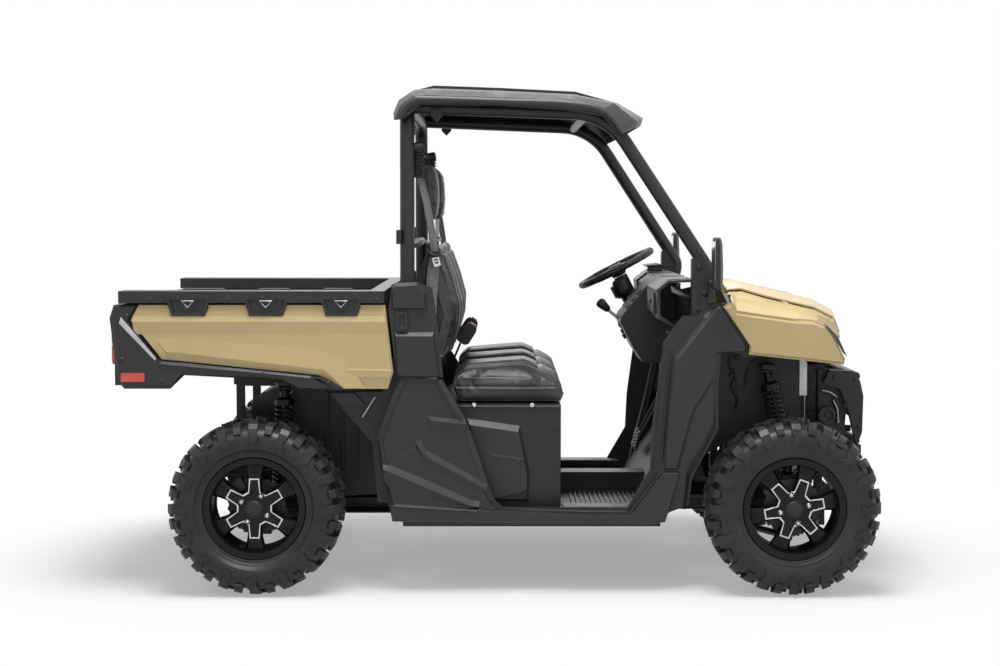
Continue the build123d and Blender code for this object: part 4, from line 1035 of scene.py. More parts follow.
def build_belts():
    """Shoulder belts from their sleeves on the hoop to the guides on the seat, with tongue and buckles."""
    bm = bmesh.new()
    down = [(-0.311, -0.6, 1.6), (-0.3, -0.596, 1.565), (-0.286, -0.592, 1.51), (-0.275, -0.586, 1.455),
            (-0.266, -0.58, 1.4), (-0.258, -0.572, 1.35), (-0.252, -0.563, 1.305)]
    add_strap(bm, curve_points(down), (0.55, 0.83, 0.0), *BELT)
    lap = [(-0.252, -0.562, 1.29), (-0.262, -0.567, 1.2), (-0.27, -0.569, 1.06), (-0.274, -0.571, 0.9),
           (-0.262, -0.573, 0.76)]
    add_strap(bm, curve_points(lap), (1.0, 0.2, 0.0), *BELT)
    mirrored(bm)
    middle = [(-0.312, 0.15, 1.3), (-0.29, 0.15, 1.345), (-0.262, 0.148, 1.352), (-0.232, 0.146, 1.335),
              (-0.2, 0.14, 1.235)]
    add_strap(bm, curve_points(middle), (0.0, 1.0, 0.0), *BELT)
    strap = add_piece("belt_webbing", bm, "webbing")
    strap.data.shade_smooth()
    bm = bmesh.new()
    sleeve = [(0.0, 0.021)]
    for k in range(9):
        sleeve += [((k + 0.25) / 9, 0.027), ((k + 0.5) / 9, 0.027), ((k + 0.75) / 9, 0.02),
                   ((k + 1) / 9, 0.02)]
    add_turned(bm, (-0.318, -0.602, 1.592), (-0.312, -0.606, 1.7), sleeve, sides=20)
    add_turned(bm, (-0.345, -0.61, 1.702), (-0.29, -0.604, 1.712), [(0, 0.016), (0.1, 0.02), (0.9, 0.02),
                                                                    (1, 0.016)])
    add_piece("belt_sleeves", bm, "plastic_deep", smooth=50, mirror=True)
    bm = bmesh.new()
    plate_outline = [(-0.284, 1.312), (-0.276, 1.294), (-0.244, 1.284), (-0.224, 1.296), (-0.232, 1.304),
                     (-0.248, 1.298), (-0.268, 1.304), (-0.276, 1.316)]
    add_prism(bm, plate_outline, -0.59, -0.56)
    add_box(bm, (-0.366, -0.608, 0.665), (-0.31, -0.566, 0.765))
    add_piece("belt_guides", bm, "plastic_deep", bevel=0.003, mirror=True)
    bm = bmesh.new()
    add_tongue(bm, Vector((-0.2505, -0.583, 1.285)), Vector((0.28, 0.0, -1.0)))
    add_piece("belt_tongues", bm, "machined", bevel=0.0006, mirror=True)
    bm = bmesh.new()
    red = bmesh.new()
    for y in (-0.187, 0.187):
        foot = Vector((-0.205, y, 0.82))
        head = Vector((-0.16, y, 0.925))
        tip = Vector((-0.112, y, 0.998))
        add_strap(bm, [foot, foot.lerp(head, 0.5), head], (0, 1, 0), 0.02, 0.006)
        along = (tip - head).normalized()
        across = Vector((along.z, 0, -along.x))
        for made, half, outline in (
            (bm, 0.013, [(0.0, -0.018), (0.012, -0.03), (0.07, -0.03), (0.088, -0.02), (0.088, 0.02),
                         (0.07, 0.028), (0.012, 0.028), (0.0, 0.016)]),
            (red, 0.008, [(0.089, -0.013), (0.094, -0.013), (0.094, 0.013), (0.089, 0.013)]),
        ):
            add_plate(made, [head + along * a + across * b for a, b in outline], half)
    add_piece("belt_buckles", bm, "plastic", bevel=0.003)
    add_piece("belt_buckle_slots", red, "lamp_red", bevel=0.0005)


def add_tongue(bm, top, along):
    """A flat latch plate of two side bars and three cross bars, which leave its slots."""
    along = along.normalized()
    across = Vector((along.z, 0.0, -along.x))
    for low, high, half in [(0.0, 0.006, 0.014), (0.013, 0.017, 0.012), (0.025, 0.036, 0.011)]:
        corners = [top + along * low - across * half, top + along * low + across * half,
                   top + along * high + across * half, top + along * high - across * half]
        add_plate(bm, corners, 0.0015)
    for b in (-0.0105, 0.0105):
        corners = [top + across * (b - 0.003), top + across * (b + 0.003),
                   top + across * (b + 0.003) + along * 0.034, top + across * (b - 0.003) + along * 0.034]
        add_plate(bm, corners, 0.0012)


# ---- shocks --------------------------------------------------------------------------
COIL = (0.034, 0.0055)        # radius of the coil and of its wire
COILS_PER_METRE = 34          # of the shock's length
SHOCKS = [((1.19, 0.468, 0.225), (1.06, 0.425, 0.832)), ((-0.87, 0.47, 0.236), (-0.855, 0.425, 0.763))]


def build_shocks():
    """Dampers with their coil springs."""
    body = bmesh.new()
    coils = bmesh.new()
    for low, high in SHOCKS:
        low = Vector(low)
        high = Vector(high)
        along = high - low
        add_turned(body, low, high, [
            (0.0, 0.018), (0.04, 0.022), (0.18, 0.022), (0.18, 0.04), (0.21, 0.041), (0.21, 0.024),
            (0.52, 0.024),
            (0.52, 0.009), (0.87, 0.009), (0.87, 0.041), (0.91, 0.04), (0.93, 0.02), (1.0, 0.018),
        ])
        for end in (low, high):
            add_turned(body, end + Vector((-0.024, 0, 0)), end + Vector((0.024, 0, 0)),
                       [(0, 0.015), (0.1, 0.018), (0.9, 0.018), (1, 0.015)])
        add_coil(coils, low + along * 0.215, low + along * 0.865, *COIL, COILS_PER_METRE * along.length)
    mirrored(body)
    mirrored(coils)
    bodies = add_piece("shock_bodies", body, "alloy", smooth=35)
    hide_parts("shocks")
    add_piece("shock_springs", coils, "spring", smooth=60)


# ---- steering wheel and dash -----------------------------------------------------------
WHEEL_CENTRE = Vector((0.51, 0.36, 1.214))
WHEEL_RAKE = math.radians(27.0)
WHEEL_RADIUS = 0.1665


def wheel_frame():
    """Local axes of the steering wheel: x across the cab, y up the wheel, z towards the driver."""
    up = Vector((math.cos(WHEEL_RAKE), 0.0, math.sin(WHEEL_RAKE)))
    out = Vector((-math.sin(WHEEL_RAKE), 0.0, math.cos(WHEEL_RAKE)))
    matrix = Matrix((Vector((0, 1, 0)), up, out)).transposed().to_4x4()
    return Matrix.Translation(WHEEL_CENTRE) @ matrix


def rim_point(angle):
    return (WHEEL_RADIUS * math.cos(angle), WHEEL_RADIUS * math.sin(angle), 0.0)


def build_steering_wheel():
    bm = bmesh.new()
    add_tube(bm, [rim_point(angle) for angle in full_turn(96)], 0.0148, sides=16, closed=True)
    for turn in (-0.42, math.pi + 0.42, math.pi / 2):
        add_tube(bm, [rim_point(turn + (k - 4) * 0.05) for k in range(9)], 0.0158, sides=16)
    for angle in (0.0, math.pi, -math.pi / 2):
        away = Vector((math.cos(angle), math.sin(angle), 0))
        inner = away * 0.03 + Vector((0, 0, -0.014))
        outer = away * 0.156 + Vector((0, 0, -0.002))
        flat = Vector((-away.y, away.x, 0))
        middle = inner.lerp(outer, 0.5) + Vector((0, 0, -0.004))
        add_strap(bm, curve_points([inner, middle, outer], 5), flat, 0.036, 0.01)
    add_turned(bm, (0, 0, -0.036), (0, 0, 0.008), [
        (0, 0.03), (0.2, 0.034), (0.5, 0.05), (0.82, 0.054), (0.96, 0.048), (1.0, 0.034),
    ], sides=40)
    bm.transform(wheel_frame())
    wheel = add_piece("steering_wheel_dressed", bm, "grip", "steering_wheel", smooth=45)
    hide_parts("steering_wheel")
    bm = bmesh.new()
    add_turned(bm, (0, 0, 0.0085), (0, 0, 0.0135), [(0, 0.031), (0.6, 0.031), (1.0, 0.028)], sides=40)
    bm.transform(wheel_frame())
    add_piece("steering_wheel_cap", bm, "plastic", "steering_wheel", smooth=35)


def build_column():
    """The shroud under the wheel with its lever, on the tilting column."""
    place = wheel_frame()
    bm = bmesh.new()
    add_turned(bm, (0, -0.014, -0.046), (0, -0.014, -0.128), [
        (0, 0.022), (0.04, 0.03), (0.2, 0.0355), (0.55, 0.044), (0.8, 0.0445), (0.94, 0.04), (1, 0.034),
    ], sides=28)
    add_turned(bm, (0, -0.006, -0.126), (0, -0.004, -0.168), [(0, 0.034), (0.5, 0.034), (0.9, 0.03),
                                                              (1, 0.026)], sides=28)
    add_prism(bm, [(-0.02, -0.062), (0.02, -0.062), (0.024, -0.04), (-0.024, -0.04)],
              -0.118, -0.066, lambda a, b, c: Vector((a, b, c)))
    bm.transform(place)
    add_piece("column_shroud", bm, "plastic_deep", "steering_column", smooth=40)
    bm = bmesh.new()
    add_bar(bm, (0.03, -0.01, -0.085), (0.098, -0.03, -0.078), 0.0045)
    add_turned(bm, (0.094, -0.029, -0.078), (0.128, -0.039, -0.075), [(0, 0.006), (0.3, 0.009), (0.8, 0.009),
                                                                      (1, 0.005)])
    add_turned(bm, (0, 0, -0.166), (0, 0, -0.236), [(0, 0.031), (0.08, 0.036), (0.3, 0.036), (0.36, 0.028),
                                                    (0.62, 0.028), (0.68, 0.034), (0.9, 0.034), (1, 0.027)],
               sides=28)
    bm.transform(place)
    add_piece("column_collars", bm, "aluminium", "steering_column", smooth=35)


def build_dash():
    """The instrument pod, the switches, the glove lid and the rims of the pockets."""
    bm = bmesh.new()
    pod = [(0.64, 1.202), (0.647, 1.224), (0.692, 1.229), (0.708, 1.223), (0.706, 1.204)]
    add_prism(bm, pod, 0.27, 0.45)
    add_prism(bm, [(0.632, 1.223), (0.64, 1.229), (0.694, 1.2355), (0.713, 1.229), (0.713, 1.222),
                   (0.692, 1.229), (0.648, 1.223)], 0.262, 0.458)
    add_piece("instrument_pod", bm, "plastic", bevel=0.004)
    bm = bmesh.new()
    face = [(0.6385, 1.206), (0.6435, 1.222), (0.6465, 1.222), (0.642, 1.206)]
    add_prism(bm, face, 0.285, 0.435)
    add_piece("instrument_glass", bm, "glass_dark", bevel=0.001)
    bm = bmesh.new()
    for y in (-0.545, -0.215, 0.215, 0.545):
        add_prism(bm, [(0.6, 1.15), (0.606, 1.162), (0.652, 1.199), (0.75, 1.203), (0.75, 1.198),
                       (0.654, 1.193)], y - 0.008, y + 0.008)
    lid = [(0.606, 1.146), (0.598, 1.148), (0.598, 1.066), (0.61, 1.062), (0.614, 1.074)]
    add_prism(bm, lid, -0.535, -0.225)
    add_piece("dash_trim", bm, "plastic_deep", bevel=0.002)
    bm = bmesh.new()
    add_box(bm, (0.592, -0.42, 1.1), (0.599, -0.34, 1.118))
    add_piece("glove_latch", bm, "plastic", bevel=0.002)
    bm = bmesh.new()
    bezels = bmesh.new()
    face_start = Vector((0.586, 0.0, 1.1395))
    face_end = Vector((0.518, 0.0, 1.052))
    along = face_end - face_start
    out = Vector((along.z, 0.0, -along.x)).normalized()
    for row in range(3):
        for column in range(4):
            middle = face_start.lerp(face_end, 0.12 + 0.34 * row) + Vector((0, -0.095 + 0.063 * column, 0))
            reach = along.normalized() * 0.011
            corners = [middle - reach, middle + reach, middle + reach + out * 0.007,
                       middle - reach + out * 0.004]
            add_plate(bm, corners, 0.017)
            rim = [middle - reach * 1.35, middle + reach * 1.35, middle + reach * 1.35 + out * 0.0025,
                   middle - reach * 1.35 + out * 0.0025]
            add_plate(bezels, rim, 0.022)
    add_piece("switches", bm, "plastic_deep", bevel=0.0012)
    add_piece("switch_bezels", bezels, "plastic", bevel=0.0012)
    bm = bmesh.new()
    stick = curve_points([(0.528, 0.06, 0.985), (0.49, 0.06, 1.02), (0.452, 0.06, 1.052)], 6)
    add_tube(bm, stick, 0.0065, sides=12)
    add_piece("shift_lever", bm, "steel", smooth=50)
    bm = bmesh.new()
    add_turned(bm, (0.462, 0.06, 1.044), (0.416, 0.06, 1.086), [
        (0, 0.008), (0.12, 0.014), (0.45, 0.0185), (0.75, 0.0215), (0.93, 0.018), (1.0, 0.009),
    ])
    add_turned(bm, (0.56, 0.06, 0.96), (0.505, 0.06, 1.008), [
        (0, 0.05), (0.25, 0.046), (0.3, 0.038), (0.5, 0.036), (0.55, 0.026), (0.8, 0.024), (1.0, 0.01),
    ])
    add_piece("shift_knob", bm, "grip", smooth=50)


def build_cab_details():
    """Tabs and plates on the tubes, clips on the seat base, tread on the floor, pads on the pedals."""
    bm = bmesh.new()
    add_prism(bm, [(-0.264, 1.856), (-0.264, 1.826), (-0.242, 1.803), (-0.22, 1.826), (-0.22, 1.856)], -0.62,
              -0.615)
    add_prism(bm, [(-0.396, 1.338), (-0.396, 1.392), (-0.376, 1.392), (-0.376, 1.338)], -0.676, -0.646)
    for x, z in [(0.76, 1.09), (0.76, 1.25), (0.783, 1.15)]:
        add_head(bm, x, z, -0.668, -0.675, 0.011, 6, 0.6)
    add_piece("frame_tabs", bm, "tube", bevel=0.0015, mirror=True)
    bm = bmesh.new()
    for x in (-0.101, 0.124):
        add_turned(bm, (x, -0.632, 0.716), (x, -0.618, 0.716), [(0, 0.004), (0.15, 0.008), (0.85, 0.008),
                                                                (1, 0.004)])
    add_piece("seat_clips", bm, "machined", smooth=40, mirror=True)
    bm = bmesh.new()
    for low, high in both_sides(0.08, 0.56):
        for x in spaced(0.285, 0.02, 14):
            add_box(bm, (x, low, 0.299), (x + 0.008, high, 0.302))
    for x in spaced(0.43, 0.012, 6):
        for low, high in both_sides(0.612, 0.68):
            add_box(bm, (x, low, 0.3305), (x + 0.006, high, 0.3325))
    add_piece("floor_tread", bm, "rubber", bevel=0.001)
    bm = bmesh.new()
    for low, high in both_sides(0.602, 0.688):
        add_box(bm, (0.24, low, 0.299), (0.545, high, 0.331))
    add_piece("sill_caps", bm, "plastic", bevel=0.004)
    bm = bmesh.new()
    for y, half in [(0.29, 0.022), (0.4, 0.038)]:
        for share in spaced(0.14, 0.18, 5):
            x = 0.588 + 0.022 * share
            z = 0.424 + 0.08 * share
            add_box(bm, (x - 0.005, y - half, z - 0.004), (x + 0.002, y + half, z + 0.004))
    add_piece("pedal_rubbers", bm, "rubber", bevel=0.001)


# ---- bed, nose and driveline details -------------------------------------------------
LATCHES = [(-1.267, -1.104), (-0.971, -0.808), (-0.679, -0.527)]


def build_bed_details():
    """Wire loops in the latches, bolts along the panels, ribs inside the tub."""
    bm = bmesh.new()
    for low, high in LATCHES:
        middle = (low + high) / 2
        loop = [(middle + shift, -0.7275, z) for shift, z in ((-0.023, 1.1235), (0.023, 1.1235),
                                                              (0.0, 1.0985))]
        add_tube(bm, loop, 0.0036, sides=8, closed=True)
    add_piece("bed_tie_loops", bm, "zinc", "bed", smooth=60, mirror=True)
    bm = bmesh.new()
    for x, z in [(-1.33, 1.128), (-1.036, 1.128), (-0.742, 1.128), (-0.47, 1.128), (-1.18, 0.868),
                 (-0.9, 0.846), (-0.655, 0.808), (-1.42, 1.066), (-1.44, 0.9), (-1.29, 0.815)]:
        add_head(bm, x, z, -0.714, -0.7225, 0.0085, 20)
    add_piece("bed_fixings", bm, "plastic_deep", "bed", smooth=40, mirror=True)
    bm = bmesh.new()
    for y in spaced(-0.5, 0.125, 9):
        add_prism(bm, [(y - 0.026, 0.8625), (y - 0.018, 0.869), (y + 0.018, 0.869), (y + 0.026, 0.8625)],
                  -1.425, -0.465, front_place)
    for x in spaced(-1.38, 0.145, 7):
        for low, high in both_sides(0.5985, 0.6035):
            add_prism(bm, [(x - 0.03, 0.885), (x - 0.022, 1.095), (x + 0.022, 1.095), (x + 0.03, 0.885)], low,
                      high)
    add_piece("bed_ribs", bm, "plastic", "bed", bevel=0.002)
    bm = bmesh.new()
    add_prism(bm, [(-1.449, 1.038), (-1.441, 1.062), (-1.309, 0.905), (-1.313, 0.895)], -0.719, -0.717)
    add_piece("bed_corner_strips", bm, "aluminium", "bed", bevel=0.0008, mirror=True)
    bm = bmesh.new()
    for low, high in both_sides(0.634, 0.69):
        for z_low, z_high in [(0.886, 0.952), (0.962, 1.034)]:
            add_box(bm, (-1.4835, low, z_low), (-1.48, high, z_high))
    add_piece("tail_lamp_lenses", bm, "lamp_red", "bed", bevel=0.001)
    bm = bmesh.new()
    for y in spaced(-0.36, 0.24, 4):
        add_prism(bm, [(y - 0.09, 0.9), (y - 0.075, 1.07), (y + 0.075, 1.07), (y + 0.09, 0.9)],
                  -1.469, -1.464, front_place)
    add_box(bm, (-1.483, -0.06, 1.0425), (-1.4815, 0.06, 1.05))
    add_piece("tailgate_panels", bm, "plastic", "tailgate", bevel=0.003)


def build_nose():
    """Lamp reflectors, grille mesh, the radiator's fins and posts, the bumper's bolts and the horns."""
    bm = bmesh.new()
    shiny = bmesh.new()
    for y, x, z in [(0.4, 1.3135, 0.934), (0.5, 1.305, 0.932), (0.59, 1.2815, 0.924)]:
        add_turned(shiny, (x - 0.018, y, z), (x + 0.0005, y, z), [(0, 0.01), (0.7, 0.02), (1, 0.023)],
                   sides=28)
    low, high, z = 0.345, 0.64, 0.9055
    rows = []
    for k in range(9):
        share = k / 8
        y = low + (high - low) * share
        x = 1.318 - 0.05 * share ** 1.6
        rows.append([(x, y, z), (x + 0.0035, y, z), (x + 0.0035, y, z + 0.006), (x, y, z + 0.006)])
    add_loft(shiny, rows)
    add_piece("lamp_reflectors", shiny, "machined", slot="lamp_clear", smooth=40, mirror=True)
    for y in spaced(-0.24, 0.04, 13):
        add_box(bm, (1.284, y - 0.002, 0.864), (1.288, y + 0.002, 0.956))
    for z in spaced(0.872, 0.02, 5):
        add_box(bm, (1.284, -0.25, z - 0.0015), (1.288, 0.25, z + 0.0015))
    add_piece("grille_mesh", bm, "plastic_deep")
    bm = bmesh.new()
    for y in spaced(-0.207, 0.0092, 46):
        add_box(bm, (1.2455, y - 0.0008, 0.604), (1.25, y + 0.0008, 0.786))
    for z in spaced(0.606, 0.0162, 12):
        add_box(bm, (1.2455, -0.209, z - 0.0012), (1.2492, 0.209, z + 0.0012))
    add_piece("radiator_fins", bm, "aluminium")
    bm = bmesh.new()
    for low, high in both_sides(0.222, 0.262):
        add_box(bm, (1.213, low, 0.714), (1.249, high, 0.862))
    add_piece("radiator_posts", bm, "aluminium", bevel=0.003)
    bm = bmesh.new()
    for y in (-0.345, 0.345):
        face = 1 if y > 0 else -1
        for x, z in [(1.345, 0.8), (1.428, 0.79), (1.446, 0.6)]:
            add_head(bm, x, z, y, y + 0.006 * face, 0.011, 6)
    add_piece("bumper_bolts", bm, "tube", bevel=0.0006)
    bm = bmesh.new()
    for y in (-0.15, 0.15):
        add_turned(bm, (1.262, y, 0.846), (1.3, y, 0.846), [(0, 0.012), (0.3, 0.026), (0.8, 0.031),
                                                            (1.0, 0.029)])
    add_piece("horn", bm, "cast", smooth=40)


def build_driveline():
    """Ribbed boots on the drive shafts."""
    bm = bmesh.new()
    for axle_x, inner, outer in [(FRONT_AXLE_X, 0.235, 0.56), (REAR_AXLE_X, 0.235, 0.47)]:
        for start, end in [(inner - 0.035, inner + 0.055), (outer + 0.04, outer - 0.05)]:
            rows = [(0.0, 0.044)]
            for k in range(4):
                top = 0.044 - 0.005 * k
                rows += [((k + step) / 4, top - sink)
                         for step, sink in ((0.2, 0.0), (0.5, 0.0), (0.7, 0.01), (0.95, 0.01))]
            rows.append((1.0, 0.018))
            add_turned(bm, (axle_x, start, HUB_Z), (axle_x, end, HUB_Z), rows)
    add_piece("shaft_boots", bm, "rubber", smooth=50, mirror=True)


def build_panel_details():
    """Screws along the sill and the cowl, and the recess in the cowl."""
    bm = bmesh.new()
    for x, z in [(-0.404, 0.3), (-0.2, 0.29), (0.06, 0.29), (0.32, 0.29), (0.48, 0.29)]:
        add_head(bm, x, z, -0.714, -0.7185, 0.007, 18)
    for x, z in [(0.64, 1.0), (0.606, 0.64), (0.616, 0.84), (0.6, 0.42)]:
        add_turned(bm, (x, -0.69, z), (x, -0.695, z), [(0, 0.006), (0.7, 0.006), (1, 0.004)], sides=18)
    add_piece("panel_screws", bm, "plastic_deep", smooth=40, mirror=True)
    bm = bmesh.new()
    add_prism(bm, [(0.806, 0.96), (0.822, 1.08), (0.83, 1.076), (0.868, 1.016), (0.862, 1.002),
                   (0.82, 0.955)], -0.7035, -0.7005)
    add_piece("cowl_recess", bm, "plastic_deep", bevel=0.001, mirror=True)


def build_mirrors():
    """Mirror housings that taper to the top, with their glass facing back."""
    for name, side in SIDES.items():
        bm = bmesh.new()
        rows = []
        for z, x_low, x_high, y_in, y_out in [
            (1.1705, 0.8, 0.829, 0.752, 0.868), (1.176, 0.7985, 0.83, 0.744, 0.876),
            (1.26, 0.7985, 0.83, 0.741, 0.879), (1.34, 0.7995, 0.827, 0.744, 0.878),
            (1.36, 0.802, 0.823, 0.752, 0.87), (1.3655, 0.806, 0.819, 0.762, 0.86),
        ]:
            rows.append([
                (x_low, side * (y_in + 0.006), z), (x_low, side * (y_out - 0.006), z),
                (x_low + 0.006, side * y_out, z), (x_high - 0.012, side * (y_out - 0.006), z),
                (x_high, side * (y_out - 0.03), z), (x_high, side * (y_in + 0.03), z),
                (x_high - 0.012, side * (y_in + 0.006), z), (x_low + 0.006, side * y_in, z),
            ])
        add_loft(bm, rows)
        add_turned(bm, (0.806, side * 0.7, 1.136), (0.806, side * 0.7, 1.2), [
            (0, 0.014), (0.12, 0.014), (0.18, 0.012), (0.55, 0.012), (0.62, 0.014), (0.95, 0.0138),
            (1.0, 0.011),
        ])
        arm = curve_points([(0.806, side * 0.7, 1.185), (0.808, side * 0.73, 1.188),
                            (0.814, side * 0.77, 1.205)], 6)
        add_tube(bm, arm, 0.0105, sides=16)
        housing = add_piece(f"mirror_{name}_housing", bm, "plastic_deep", f"mirror_{name}", bevel=0.003)
        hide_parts(f"mirror_{name}")
        bm = bmesh.new()
        low, high = sorted((side * 0.752, side * 0.868))
        add_box(bm, (0.798, low, 1.184), (0.7995, high, 1.35))
        add_piece(f"mirror_{name}_glass", bm, "mirror", f"mirror_{name}", bevel=0.0005)


ROOF_SIDE_TOP = [(-0.402, 1.808), (-0.379, 1.861), (-0.333, 1.897), (-0.284, 1.902), (0.0, 1.893),
                 (0.265, 1.884), (0.398, 1.853), (0.474, 1.76)]
ROOF_SIDE_FOOT = [(-0.364, 1.812), (-0.345, 1.84), (-0.31, 1.862), (-0.27, 1.864), (0.0, 1.861),
                  (0.26, 1.844), (0.388, 1.822), (0.456, 1.752)]


def build_roof_details():
    """The rounded band along each side of the roof, and the bolts over its hoop."""
    bm = bmesh.new()
    top, foot = (curve_points([(x, 0.0, z) for x, z in line], 8) for line in (ROOF_SIDE_TOP, ROOF_SIDE_FOOT))
    rows = []
    for a, b in zip(top, foot):
        ring = []
        for k in range(11):
            turn = math.pi * k / 10
            point = Vector(a).lerp(Vector(b), (1 - math.cos(turn)) / 2)
            ring.append(Vector((point.x, -0.674 - 0.016 * math.sin(turn), point.z)))
        rows.append(ring)
    add_loft(bm, rows)
    add_piece("roof_bands", bm, "plastic", smooth=60, mirror=True)
    bm = bmesh.new()
    for y in (-0.3, 0.3):
        add_turned(bm, (-0.25, y, 1.9), (-0.25, y, 1.893), [(0, 0.01), (1, 0.01)], sides=6)
    add_piece("roof_bolts", bm, "steel")


# ---- moulded reliefs and inner panels ------------------------------------------------------
def inset(rows):
    """Corners of an outline of (x, z, slope), each edge moved inwards by the slope of its first row."""
    count = len(rows)
    area = sum(rows[k - 1][0] * rows[k][1] - rows[k][0] * rows[k - 1][1] for k in range(count))
    turn = 1 if area > 0 else -1
    lines = []
    for k, (x, z, slope) in enumerate(rows):
        along = (Vector(rows[(k + 1) % count][:2]) - Vector((x, z))).normalized()
        lines.append((Vector((x, z)) + Vector((-along.y, along.x)) * turn * slope, along))
    corners = []
    for k in range(count):
        start, along = lines[k - 1]
        after, ahead = lines[k]
        cross = along.x * ahead.y - along.y * ahead.x
        gap = after - start
        reach = (gap.x * ahead.y - gap.y * ahead.x) / cross if abs(cross) > 0.03 else 0.0
        corners.append(start + along * reach if reach else after)
    return corners


def add_pillow(bm, rows, y_low, y_high):
    """A raised field: the outline at y_low, its inset at y_high."""
    add_loft(bm, [[(x, -y_low, z) for x, z, _ in rows], [(p.x, -y_high, p.y) for p in inset(rows)]])


def add_ridge(bm, upper, crest, foot, levels):
    """A moulded ridge along three lines of (x, z) corners, each at its level from the middle plane."""
    rows = []
    for corners in zip(upper, crest, foot):
        rows.append([(x, -level, z) for (x, z), level in zip(corners, levels)])
    add_loft(bm, rows)


def shifted(line, x, z):
    return [(a + x, b + z) for a, b in line]


BED_FACE = 0.716
QUARTER_REAR = [(-0.38, 0.828), (-0.42, 0.74), (-0.4728, 0.592), (-0.4578, 0.488), (-0.428, 0.348)]
QUARTER_FRONT = [(-0.223, 0.8215), (-0.131, 0.669), (-0.077, 0.515), (-0.047, 0.419), (-0.024, 0.361)]


